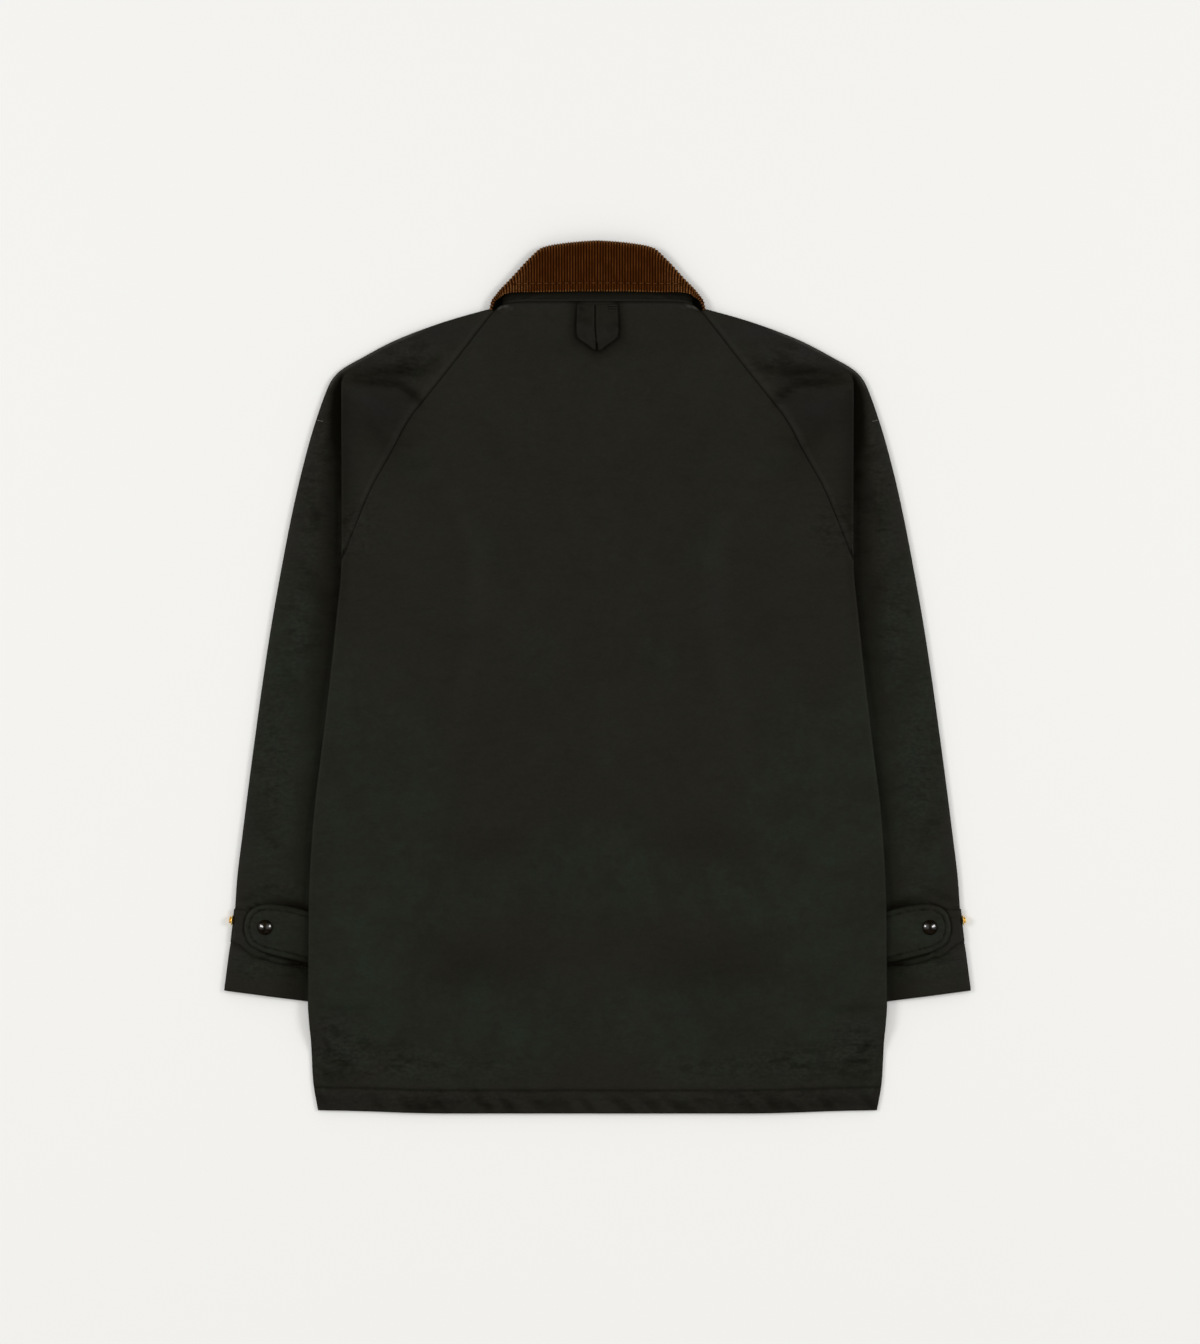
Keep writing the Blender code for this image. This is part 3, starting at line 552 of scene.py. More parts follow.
def waxedMaterial(name, tone=1.0):
    material, place, join = newMaterial(name, {
        "Specular IOR Level": 0.04, "Coat Roughness": 0.48, "Coat IOR": 1.5})
    cloudy = place.noise(11.0, 4.0, 0.6).remap(0.38, 0.64)
    cloudyFine = place.noise(46.0, 5.0, 0.62).remap(0.36, 0.66)
    speckle = place.noise(430.0, 3.0, 0.7)
    blots = place.noise(120.0, 3.0, 0.6).remap(0.50, 0.66)
    ridges = place.scaled((0.38, 1.0, 1.0)).noise(140.0, 3.0, 0.55)
    crumple = place.painted("crumple")
    bent = ridges.remap(0.34, 0.50, 1.0, 0.0) * crumple
    # painted shade: what paint() laid on, and darker where the fine crumple creases would lie
    paintedShade = (place.painted("paintedShade") + bent * 0.36).clamped()
    green = (place.painted("green") * (0.42 + cloudyFine * 0.62 + blots * 0.36)
             + blots * (0.04 + cloudy * 0.2)).clamped()
    # grey: a greyer, glossier tone, with painted highlight on the crease ridges
    grey = (place.painted("grey") * (0.6 + cloudyFine * 0.4)).clamped()
    base = green.tint(waxedCotton["olive"], waxedCotton["green"])
    base = grey.tint(base, waxedCotton["grey"])
    # painted highlight from paint()
    base = place.painted("pale").clamped().tint(base, waxedCotton["pale"])
    flecks = place.scaled((0.6, 1.0, 1.0)).noise(330.0, 3.0, 0.6).remap(0.34, 0.66, -0.5, 0.5)
    lit = (0.66 + speckle * 0.46 + cloudyFine * 0.10 + cloudy * 0.08 + flecks * crumple * 0.72) * tone
    join("Base Color", paintedShade.tint(base.shaded(lit), waxedCotton["dark"]))
    join("Roughness", waxedCotton["roughness"] + cloudyFine * 0.12 - grey * 0.08)
    # where shade is painted, the wax's sheen is painted thinner too
    join("Coat Weight", (1.0 - paintedShade) * (1.0 - paintedShade * 0.5) * (waxedCotton["wax"] + grey * 0.015))
    threads = place.noise(1500.0, 2.0, 0.7)
    slubs = place.scaled((0.35, 1.0, 1.0)).noise(520.0, 3.0, 0.6)
    rumple = place.noise(85.0, 3.0, 0.55)
    height = threads * 0.5 + slubs * 0.8 + rumple * 5.0 - bent * 3.2
    join("Normal", height.bumped(waxedCotton["weaveHeight"]))
    return material


corduroy = {
    "valley": colour(0.0085, 0.0020, 0.0003),
    "pile": colour(0.0360, 0.0088, 0.0007),
    "ridge": colour(0.1000, 0.0310, 0.0052),
    # the colour of the painted highlight on the wale tips
    "rim": colour(0.3600, 0.1750, 0.0600),
    # the colour that painted shade on the corduroy darkens towards
    "under": colour(0.0026, 0.0027, 0.0019),
    "roughness": 0.85,
    "tuftHeight": 0.00018,
}


def corduroyMaterial(name):
    material, place, join = newMaterial(name, {"Specular IOR Level": 0.02})
    worn = place.scaled((1.0, 0.35, 1.0)).noise(190.0, 4.0, 0.65).remap(0.38, 0.66)
    tufts = place.noise(700.0, 3.0, 0.7)
    crest = (place.painted("crest") * (0.72 + tufts * 0.56)).clamped()
    # the pile's own colour, with painted shade in the valleys and painted highlight on the ridges
    base = crest.remap(0.0, 0.55).tint(corduroy["valley"], corduroy["pile"])
    base = (crest.remap(0.5, 1.0) * (0.25 + worn * 0.6)).tint(base, corduroy["ridge"])
    # painted highlight on the wale tips at the free edge and round the roll; towards the collar's sides the
    # tips are painted lighter
    tips = place.painted("rim") * crest * crest * tufts.remap(0.36, 0.62)
    base = tips.clamped().tint(base, corduroy["rim"])
    # painted shade from paint(): inside the roll and at the stitch line
    join("Base Color", place.painted("paintedShade").clamped().tint(base, corduroy["under"]))
    join("Roughness", corduroy["roughness"] - worn * 0.08)
    height = tufts + place.noise(240.0, 2.0, 0.6) * 1.2
    join("Normal", height.bumped(corduroy["tuftHeight"], 0.8))
    return material


def threadMaterial(name, base, roughness):
    material, place, join = newMaterial(name, {"Specular IOR Level": 0.08})
    twist = place.noise(900.0, 2.0, 0.6)
    dim = colour(*(c * 0.7 for c in base[:3]))
    join("Base Color", twist.remap(0.3, 0.7).tint(dim, base))
    join("Roughness", roughness + twist * 0.1)
    return material


def enamelMaterial(name):
    material, place, join = newMaterial(name, {
        "Specular IOR Level": 0.0, "Coat Roughness": 0.12, "Coat IOR": 1.85})
    mottled = place.noise(320.0, 3.0, 0.6).remap(0.35, 0.7)
    join("Base Color", mottled.tint(colour(0.0022, 0.0012, 0.0002), colour(0.0088, 0.0047, 0.0006)))
    join("Roughness", 0.10 + place.noise(900.0, 2.0, 0.5) * 0.06)
    # painted highlight: coat painted on where the lamps' reflections fall
    join("Coat Weight", 0.03 + mottled * 0.03 + place.painted("paintedHighlight") * 0.9)
    return material


def brassMaterial(name):
    material, place, join = newMaterial(name, {"Metallic": 1.0})
    tarnish = place.noise(420.0, 4.0, 0.6).remap(0.4, 0.75)
    join("Base Color", tarnish.tint(colour(0.90, 0.64, 0.20), colour(0.60, 0.33, 0.08)))
    join("Roughness", 0.14 + tarnish * 0.20)
    return material


cloth = waxedMaterial("waxed_cotton")
trimCloth = waxedMaterial("waxed_cotton_trim")
insideCloth = waxedMaterial("waxed_cotton_under", 1.05)
pile = corduroyMaterial("rust_corduroy")
darkThread = threadMaterial("dark_thread", colour(0.0100, 0.0100, 0.0075), 0.55)
rustThread = threadMaterial("rust_thread", colour(0.19, 0.070, 0.016), 0.6)
loopThread = threadMaterial("loop_thread", colour(0.030, 0.029, 0.023), 0.55)
paleThread = threadMaterial("pale_thread", colour(0.17, 0.16, 0.125), 0.6)
enamel = enamelMaterial("brown_enamel")
brass = brassMaterial("bright_brass")
print("materials ready")


# outlines of the small pieces, which shade what they lie on

cuffPiece = {
    "tab": [(272, -238.5, -292), (290, -234, -287), (311, -228.7, -281.5), (330, -226.8, -276.3),
            (342, -229.8, -271.3), (348.5, -234.6, -266.8), (352.2, -241, -261), (353.5, -247, -254.5)],
    "tabWall": 1.4,
    "tabLift": 1.8,  # its middle, above the middle of the sleeve's upper layer
    "overStrap": 318.0,
    "overStrapLift": 1.3,
    "stitchInset": 5.4,
    "strapWall": 0.9,
    "strapLift": 1.55,
    "strapInner": 334.0,
    "strapY": (-232.5, -265.5),
    "strapSlant": 13.0,
    "strapTurn": 112.0,  # in degrees round the outer edge
    "tongue": [(334, -282.6), (322, -286.4), (310, -288.4), (297, -288.2)],
    "tongueEnd": (297.0, 5.95),
    "cap": (332.5, -250.5),
    "capFoot": 8.75,
    "studPlace": (-243.5, 5.05),
    "studOut": 2.1,
}
tabStart, tabEnd = cuffPiece["tab"][0][0], cuffPiece["tab"][-1][0]
tabHigh = smoothTable([(row[0], row[1]) for row in cuffPiece["tab"]])
tabLow = smoothTable([(row[0], row[2]) for row in cuffPiece["tab"]])


def tabBase(x):
    over = ease((x - cuffPiece["overStrap"]) / 14)
    return cut["armTop"] + cuffPiece["tabLift"] + over * cuffPiece["overStrapLift"]


def tabOutline(inset):  # down one side, round the end and back, as (x, y)
    xs = np.linspace(tabStart, tabEnd - 0.3, 60)
    outline = [(x, tabHigh(x)) for x in xs]
    outline += [(tabEnd, y) for y in np.linspace(-247.3, -254.2, 6)]
    outline += [(x, tabLow(x)) for x in reversed(xs)]
    moved = []
    for before, point, after in zip([outline[0]] + outline, outline, outline[1:] + [outline[-1]]):
        d = Vector((after[0] - before[0], after[1] - before[1])).normalized()
        moved.append((point[0] + d.y * inset, point[1] - d.x * inset))
    return moved


tabStitchPath = tabOutline(cuffPiece["stitchInset"])
tabEdge, tabSewn = tabOutline(0.0)[::3], tabStitchPath[::3]
strapLowPath = [(366.5, -265.7), (352, -273.5), (340, -280.4), (334, -282.8), (322, -286.6), (310, -288.6),
                (297, -288.4)]
strapTopPath = [(363.5, -232.0), (351, -233.5)]
loopOutline = [(20.6, 374), (21.6, 352), (20.6, 340), (17.8, 337), (12.4, 333.6), (2.6, 326), (0, 325.6)]
# paths of painted highlights on small folds by the neck
neckFoldHighlights = [[(88, 372.8), (95, 371.0), (99.5, 368.4)], [(85.5, 370.0), (92, 369.6)]]


def cuffShade(x, y):
    across = np.abs(x)
    tab = distance(across, y, tabEdge)
    inward = ease((330 - across) / 34) * (1 + 0.7 * wander(x, y, 4.5, 7.3))
    shade = 0.72 * band(tab, 1.3) + (0.1 + 0.42 * inward) * band(tab, 5.0)
    shade += 0.5 * band(distance(across, y, strapLowPath), 1.0)
    shade += 0.75 * band(distance(across, y, strapTopPath), 1.1)
    return shade * (y < -190)


def tabShade(x, y):
    across = np.abs(x)
    uneven = 0.75 + 1.1 * wander(x, y, 3.4, 3.3)
    shade = 0.35 * band(distance(across, y, tabEdge), 0.8)
    shade += 0.75 * uneven * band(distance(across, y, tabSewn), 0.85)
    return shade + 0.22 * ease((296 - across) / 16)


def strapShade(x, y):
    across = np.abs(x)
    wide = mix(2.8, 1.5, ease((across - 306) / 30))
    shade = 0.06 + 0.3 * band(distance(across, y, strapLowPath), 0.9)
    return shade + 0.8 * band(distance(across, y, tabEdge), wide)


def neckShade(x, y):
    across = np.abs(x)
    loop = distance(across, y, loopOutline)
    tail = np.hypot(across - 103.5, y - 370.0)
    shade = 0.3 * band(loop, 1.5) + 0.4 * band(loop - 1, 6.0)
    shade += 0.45 * band(y - backNeck(x), 0.9) + 0.7 * band(tail, 5.0)
    return shade * (y > 300)


def standShade(x, y):
    across = np.abs(x)
    under = 385.0 - y - 2.0 * ease((across - 88) / 12)
    depth = 5.5 + 5.0 * ease((across - 62) / 30)
    shade = 0.16 + 0.84 * (1 - ease((under - 0.8) / depth)) + 0.6 * ease((across - 86) / 12)
    return shade + 0.5 * band(y - backNeck(x) - 2.7, 0.7)


def loopMiddle(y):  # the line where the legs meet
    return mix(-0.6, -2.4, ease((y - 328) / 22))


def loopShade(x, y):
    edge = distance(np.abs(x), y, loopOutline)
    seam = x - loopMiddle(y)
    tacks = band(y - 370.2, 3.2) * (x > 10) * (x < 19.5) * (0.5 + 0.5 * np.cos((y - 370.3) * 2.56))
    tacks += 0.5 * band(x + 16.5, 2.6) * band(y - 368.5, 3.0)
    soft = band(y - 355 + 0.35 * (x + 12), 3.0) * ease((-3 - x) / 6)
    soft += band(y - 350 - 0.3 * (x - 12), 2.4) * ease((x - 5) / 6)
    shade = 0.2 + 0.3 * band(edge, 0.8) + 0.25 * band(seam, 0.8) + 0.7 * (y < 334.5) * band(seam, 1.6)
    return shade + 0.62 * tacks + 0.26 * soft + 0.12 * wander(x, y, 5.0, 8.1)


# soft patches by place, as (x, y, half width, half height, amount): tones that the wax has taken, painted
# shade, and where the cloth is crumpled

greenPatches = [
    (215, -150, 80, 150, 0.72), (10, -205, 70, 60, 0.5), (70, -335, 150, 46, 0.6), (318, -60, 34, 190, 0.8),
    (235, -300, 70, 80, 0.7), (262, -60, 26, 110, 0.5), (315, -256, 40, 24, 0.8), (326, -291, 34, 12, 0.7),
    (125, -215, 62, 34, 0.8), (30, -190, 36, 52, 0.85), (170, -225, 44, 22, 0.6), (108, 118, 26, 22, 0.32),
    (112, 150, 22, 30, 0.25), (60, 20, 30, 40, 0.3), (250, -200, 34, 60, 0.55), (95, -370, 70, 34, 0.62),
    (120, -320, 40, 26, 0.35), (200, -120, 50, 60, 0.3), (298, 60, 16, 60, 0.7), (318, -60, 14, 60, 0.5),
    (335, -190, 20, 44, 0.55), (330, -252, 20, 20, 0.5), (180, 212, 22, 16, 0.4), (20, 300, 60, 40, 0.12),
    (240, -300, 40, 60, 0.45), (288, 150, 10, 60, 0.25), (20, -90, 40, 40, 0.22), (345, -285, 22, 16, 0.5),
    (205, -388, 70, 24, 0.5), (120, -400, 60, 14, 0.35), (274, -396, 14, 24, 0.35), (230, -350, 40, 26, 0.4),
]
greyPatches = [
    (214, 324, 50, 18, 0.8), (160, 345, 50, 12, 0.7), (222, 268, 34, 24, 0.7), (250, 240, 12, 50, 0.35),
    (268, -360, 26, 26, 0.45), (150, -424, 150, 12, 0.12), (262, -424, 40, 12, 0.4), (362, -268, 12, 26, 0.7),
    (12, 342, 12, 14, 0.55), (300, 140, 14, 60, 0.3), (288, 230, 8, 40, 0.4), (352, -150, 12, 60, 0.3),
    (60, 372, 60, 6, 0.35), (196, 298, 20, 12, 0.35), (40, -300, 60, 40, 0.12), (340, -262, 14, 18, 0.25),
]
# painted shade, as beside the cuff tabs and on the shoulders
shadePatches = [
    (238, 264, 38, 26, 0.28), (186, 281, 11, 8, 0.3), (250, 205, 14, 60, 0.24), (205, 250, 30, 60, 0.18),
    (150, 345, 60, 16, 0.08), (298, -287, 14, 6, 0.22), (302, -229, 20, 5, 0.34), (318, -222, 34, 6, 0.16),
    (120, -290, 60, 30, 0.18), (30, 330, 34, 12, 0.12), (112, -170, 40, 20, 0.12),
]
crumpleZones = [  # where the cloth is crumpled most
    (262, -372, 34, 34, 0.9), (205, -386, 60, 20, 0.6), (120, -392, 80, 14, 0.4), (170, -423, 170, 13, 0.5),
    (302, -290, 14, 14, 0.6), (322, -215, 34, 12, 0.35), (186, 318, 34, 24, 0.55), (226, 300, 34, 14, 0.35),
    (286, 170, 16, 70, 0.55), (300, 60, 18, 70, 0.55), (240, 150, 26, 30, 0.5), (326, -90, 26, 110, 0.5),
    (345, -290, 24, 20, 0.5), (94, 370, 12, 5, 0.7), (330, -250, 30, 26, 0.25), (276, 245, 12, 40, 0.5),
]


def patchValue(x, y, patches):
    across = np.abs(x)
    value = np.zeros(len(x))
    for px, py, halfWidth, halfHeight, amount in patches:
        away = np.hypot((across - px) / halfWidth, (y - py) / halfHeight)
        value = 1 - (1 - value) * (1 - amount * (1 - ease(away / 1.5)))
    return value


def paintCloth(mesh, shade=None):
    points = meshPoints(mesh)
    x, y, z = points[:, 0], points[:, 1], points[:, 2]
    across = np.abs(x)
    crease = creaseHeight(x, y)
    wandering = wander(x, y, 34.0, 2.2)
    outside = ease((across - bodyEdge(y) + 1) / 1.5)
    onArm = outside * (1 - ease((z - cut["armTop"] - 2.2) / 2.0))
    uneven = (0.06 + 0.16 * (1 - ease((y - 215) / 25))) * (1 + wander(x * 0.7, y, 13.0, 2.9))
    # painted shade: on the sleeve beside the body's fold, in crease troughs and in the shade patches
    paintedShade = besideFold(x, y) * onArm * (1.0 - uneven)
    paintedShade += np.clip(-crease * 0.42, 0, 0.6) + patchValue(x, y, shadePatches)
    seam = seamDistance(x, y)
    # painted shade in and beside the raglan seam's groove
    paintedShade += 0.52 * band(seam, 0.65) + 0.1 * band(seam, 2.4)
    rise = y - hemLine(x)
    hemShade = 0.54 * band(rise - cut["hemDepth"], 1.6) * (across < bodyEdge(y) + 3)
    paintedShade += hemShade * (0.8 + 0.5 * wander(x, y, 7.0, 6.1))
    # painted shade in the hem's puckers, darker towards the sides
    pucker = np.clip(-hemTwist(x, y), 0, 0.36)
    paintedShade += (1.1 * pucker + 0.19 * ease((across - 50) / 60)) * band(rise - 8.0, 9.0)
    # painted shade on the body along its folded edge
    foldEdge = band(bodyEdge(y) - across, 7.0) * ease((y - 30) / 60) * (1 - ease((y - 280) / 14))
    paintedShade += 0.26 * foldEdge * (1 - outside)
    if shade:
        paintedShade += shade(x, y)
    # painted highlight: a pale line along the shoulders' rolled edge, beside the seam's ridge and on small
    # folds by the neck
    rim = (armOuter(y) - across) / np.hypot(1.0, armOuter(y + 1) - armOuter(y))
    lit = ease((across - 165) / 30) * (1 - ease((across - 262) / 14)) * (y > 290)
    pale = 0.9 * band(rim - 1.0, 1.2) * lit * (0.6 + 0.4 * wandering)
    pale += 0.10 * band(seam - 3.2, 1.1) * (across > backSeam(y))
    for fold in neckFoldHighlights:
        pale += 0.9 * band(distance(across, y, fold), 0.8)
    paint(mesh, "crumple", np.clip(0.16 + patchValue(x, y, crumpleZones), 0, 1))
    paint(mesh, "paintedShade", np.clip(paintedShade, 0, 1))
    paint(mesh, "green", np.clip(patchValue(x, y, greenPatches) * (0.75 + 0.5 * wandering), 0, 1))
    # grey patches of tone, and painted highlight on the crease ridges
    paint(mesh, "grey", np.clip(patchValue(x, y, greyPatches) + np.clip(crease * 0.4, 0, 0.5), 0, 1))
    paint(mesh, "pale", pale)


def surfaceArea(mesh):  # in square metres
    return sum(face.area for face in mesh.polygons)


def clothPiece(name, grid, wall, material, replaced, side=1, settled=True, shade=None):
    mesh = gridMesh(name, grid, side, settled)[0]
    area = surfaceArea(mesh)
    walled = thicken(name, mesh, wall)
    paintCloth(walled, shade)
    return addPiece(name, walled, material, replaced), area


def arc(centre, radius, start, end, count):  # angles in degrees from the outward direction
    angles = np.radians(np.linspace(start, end, count + 1))
    return [(centre[0] + radius * math.cos(a), centre[1] + radius * math.sin(a)) for a in angles]


def run(start, end, count):  # between two ends, without them
    return [(mix(start[0], end[0], k / count), mix(start[1], end[1], k / count)) for k in range(1, count)]


# the back

backPiece = {"columns": 82, "step": 3.5, "seamSteps": [0.6, 1.3, 2.3, 3.8], "foldFaces": 7,
             "foldMargin": 3.15}
hemRows = [cut["hem"] + rise for rise in (30, 27, 25.2, 24.2, 23.5, 23, 22.5, 21.8, 20.8, 19, 12, 5, 2)]
lowerRows = sorted(set(bodyRows[:-2] + [-396] + hemRows + [cut["hem"]]), reverse=True)


def hemShift(x, y):  # rows near the hem follow its curve
    return (hemLine(x) - cut["hem"]) * ease((-376 - y) / 24)


def mirrored(row):  # the same row on the other half, read towards the middle
    return [p and (-p[0], p[1], p[2]) for p in reversed(row)]


def backRows():
    b = backPiece
    rows = []
    for y in shoulderSeam + tuckRows + lowerRows:
        below, seamEnds = y <= cut["underarm"], y == cut["underarm"]
        fold = bodyEdge(y) - cut["foldRadius"]
        side = fold - b["foldMargin"] if below else backSeam(y) - cut["seamGap"] / 2
        near = [side - step for step in reversed(b["seamSteps"])] + [side]
        xs = [near[0] * k / b["columns"] for k in range(b["columns"])] + near
        half = [(x, backNeck(x) if y == neckTop else y + hemShift(x, y), backHeight(x, y)) for x in xs]
        under = [None] * (b["foldFaces"] + 2)
        if below:
            top = backHeight(fold, y)
            place = y - cut["seamGap"] / 2 if seamEnds else half[-1][1]
            section = arc((fold, top - cut["foldRadius"]), cut["foldRadius"], 90, -90, b["foldFaces"])
            section.append((fold - cut["sideReturn"], top - 2 * cut["foldRadius"]))
            under = [(x, place, z) for x, z in section]
        if seamEnds:
            half = [(x, place - slant(x), z) for x, place, z in half]
            under = [(x, place - (slant(x) if 2 * k <= b["foldFaces"] else fullSlant), z)
                     for k, (x, place, z) in enumerate(under)]
        right = half[1:] + under
        rows.append(mirrored(right) + [half[0]] + right)
    return rows


backCloth, backArea = clothPiece("back_cloth", loft(backRows(), backPiece["step"]), cut["wall"], cloth,
                                 ["back_panel"], shade=neckShade)
print(f"back: {len(backCloth.data.polygons)} faces, {backArea:.4f} m2")


# the fronts

frontPiece = {"columns": 8, "step": 7.0, "seamDrop": 21.8}


def frontSeamPoint(seam):
    y = seam - frontPiece["seamDrop"] * max(0.0, (seam - foldTop) / (neckTop - foldTop))
    return frontSeam(y), y


def frontRows(lapping):
    rows = []
    lap, columns = cut["lap"], frontPiece["columns"]
    for number, seam in enumerate(shoulderSeam + tuckRows + bodyRows):
        inner = armInner(seam)
        end, y = frontSeamPoint(seam) if seam >= cut["underarm"] else (inner - 2.0, seam)
        last = end - cut["seamGap"] / 2
        xs = [-lap, -lap + 6, -lap / 2, 0, lap / 2, lap + 3, 1.5 * lap + 3, 2 * lap + 2]
        if seam > cut["underarm"]:
            xs += [mix(xs[-1], last, k / 12) for k in range(1, 13)]
        else:
            bend = inner - cut["frontBend"]
            xs += [mix(xs[-1], bend, k / 4) for k in range(1, 5)]
            xs += [mix(bend, last, k / 8) for k in range(1, 9)]
        row = []
        for x in xs:
            dip = (frontNeck(x) - frontNeck(end)) * (1 - ease(number / 8))
            rise = cut["lapRise"] * ease((2 * lap + 2 - x) / (lap - 1)) if lapping else 0.0
            row.append((x, hemLine(x) if y == cut["hem"] else y + dip, frontHeight(x, y) + rise))
        outer = [None] * columns
        if seam <= cut["underarm"]:
            side = bodyEdge(y) - cut["foldRadius"] - cut["sideReturn"] - cut["seamGap"]
            gap = cut["seamGap"] / 2 if y == cut["underarm"] else 0.0
            xs = [mix(last, side, k / columns) for k in range(1, columns + 1)]
            outer = [(x, (hemLine(x) if y == cut["hem"] else y) - gap, frontHeight(x, y)) for x in xs]
        rows.append(row + outer)
    return rows


fronts = {}
for side, hand in hands:
    grid = loft(frontRows(hand == "right"), frontPiece["step"])
    fronts[hand], frontArea = clothPiece(f"front_cloth_{hand}", grid, cut["wall"], insideCloth,
                                         [f"front_{hand}"], side)
print(f"fronts: {frontArea:.4f} m2 each")


# the sleeves

sleevePiece = {  # first the counts of faces, one way round a sleeve
    "flap": 9, "fold": 7, "back": 5, "tuck": 6, "upper": 20, "round": 8, "floor": 8, "under": 5,
    "seamSteps": [0.6, 1.3, 2.3, 3.8],
    "step": 4.0,
    "ramp": 48.0,
    "cuffLine": -282.0,  # the cuff's stitched hem, at the sleeve's outer edge
}
hiddenColumns = sum(sleevePiece[part] for part in ("flap", "fold", "back", "tuck"))
hiddenColumns += len(sleevePiece["seamSteps"])


def flapHeight(u, top, first, start):
    if start is not None:
        return backHeight(start[0] + u, start[1]) - leafLift(start[0] + u, start[1])
    ramp = max(0.0, first - sleevePiece["ramp"])
    return mix(cut["middleHeight"], top, ease((u - ramp) / (first - ramp)))


def tuckedSection(width, fold, turn, length, start):  # the upper layer: seam, fold, tuck and outer edge
    s = sleevePiece
    t = math.radians(turn)
    top = cut["armTop"] + fullStep / 2 * (1 - math.cos(t)) + length * math.sin(t)
    first = fold - cut["foldRadius"] * math.sin(min(t, math.pi / 2))
    last = (width - armRadius, cut["armTop"])
    seam = cut["seamGap"] / 2
    near = [seam] + [seam + step * min(1.0, width / 24) for step in s["seamSteps"]]
    if turn < cut["leastTurn"]:
        bend = mix(seam, last[0], max(0.4, 1 - 20 / width))
        flat = near + [mix(near[-1], bend, k / s["flap"]) for k in range(1, s["flap"] + 1)]
        points = [(u, mix(cut["middleHeight"], cut["armTop"], (u - seam) / (last[0] - seam))) for u in flat]
        points += run(points[-1], last, s["fold"] + s["back"] + s["tuck"] + s["upper"])
    else:
        turned = arc((first, top - cut["foldRadius"]), cut["foldRadius"], 90, 90 - turn, s["fold"])
        end = (turned[-1][0] + length * math.cos(t), turned[-1][1] - length * math.sin(t))
        middle = (end[0] + cut["tuckRadius"] * math.sin(t), end[1] + cut["tuckRadius"] * math.cos(t))
        back = arc(middle, cut["tuckRadius"], 270 - turn, 270, s["tuck"])
        flap = near + [mix(near[-1], first, k / s["flap"]) for k in range(1, s["flap"])]
        points = [(u, flapHeight(u, top, first, start)) for u in flap] + turned
        points += run(turned[-1], end, s["back"]) + back + run(back[-1], last, s["upper"])
    return points + arc((last[0], cut["low"] + armRadius), armRadius, 90, -90, s["round"])


def armTilt(y):
    return cut["cuffTilt"] * ease((cut["tiltStart"] - y) / (cut["tiltStart"] - armRows[-1]))


def endOfSeam(x, column):  # the slant stays over the fold, and beneath it fades to the tuck
    s = sleevePiece
    if column <= len(s["seamSteps"]) + s["flap"] + s["fold"] // 2:
        return slant(x)
    return fullSlant * max(0.0, min(1.0, (hiddenColumns - s["tuck"] - column) / s["back"]))


def sleeveRows():
    rows = []
    s = sleevePiece
    seam = cut["seamGap"] / 2
    for place, outerPlace, turn in shoulderRows + [(y, y, 180) for y in tuckRows]:
        start = np.array((backSeam(place), place))
        outer = np.array((armOuter(outerPlace), outerPlace))
        width = np.linalg.norm(outer - start)
        along = (outer - start) / width
        margin = min(8.0, width * 0.45)
        fold = min(width - margin, (bodyEdge(place) - start[0]) / along[0])
        length = cut["leastReturn"]
        if turn == 180:
            length = max(length, fold + start[0] - cut["foldRadius"] - cut["tuckRadius"] - armInner(place))
        section = tuckedSection(width, fold, turn, length, start if place <= foldTop else None)
        row = [(start[0] + along[0] * u, start[1] + along[1] * u, z) for u, z in section]
        edgeX, edgeY = row[-1][:2]
        frontX, frontY = frontSeamPoint(place)
        for t in [k / s["floor"] for k in range(1, s["floor"] + 1)]:
            row.append((mix(edgeX, frontX + seam, t), mix(edgeY, frontY, t), cut["low"]))
        rows.append([(x, y, z + leafLift(x, y)) for x, y, z in row] + [None] * s["under"])
    rows[-1] = [p and (p[0], p[1] + (seam if k < hiddenColumns else 0) - endOfSeam(p[0], k), p[2])
                for k, p in enumerate(rows[-1])]
    cuffRows = [s["cuffLine"] + d for d in (-4, -2, -1.2, -0.5, 0.5, 1.2, 2, 4)]
    for y in sorted({*armRows, *cuffRows, -300, -308, -311.5}, reverse=True):
        outer, inner, tilt = armOuter(y), armInner(y), armTilt(y)
        first = (inner + armRadius + cut["underarmGap"], cut["armTop"])
        last = (outer - armRadius, cut["armTop"])
        middle = cut["low"] + armRadius
        section = [first] + run(first, last, s["upper"])
        section += arc((last[0], middle), armRadius, 90, -90, s["round"])
        section += run(section[-1], (inner + armRadius, cut["low"]), s["floor"])
        section += arc((inner + armRadius, middle), armRadius, 270, 90, s["under"])
        rows.append([None] * hiddenColumns + [(x, y - tilt * (outer - x), z) for x, z in section])
    return rows


sleeveGrid = loft(sleeveRows(), sleevePiece["step"])
sleeves = {}
for side, hand in hands:
    sleeves[hand], sleeveArea = clothPiece(f"sleeve_cloth_{hand}", sleeveGrid, cut["wall"], cloth,
                                           [f"sleeve_{hand}"], side, shade=cuffShade)
print(f"sleeves: {len(sleeves['left'].data.polygons)} faces, {sleeveArea:.4f} m2 each")


# the collar's fall, with its wales

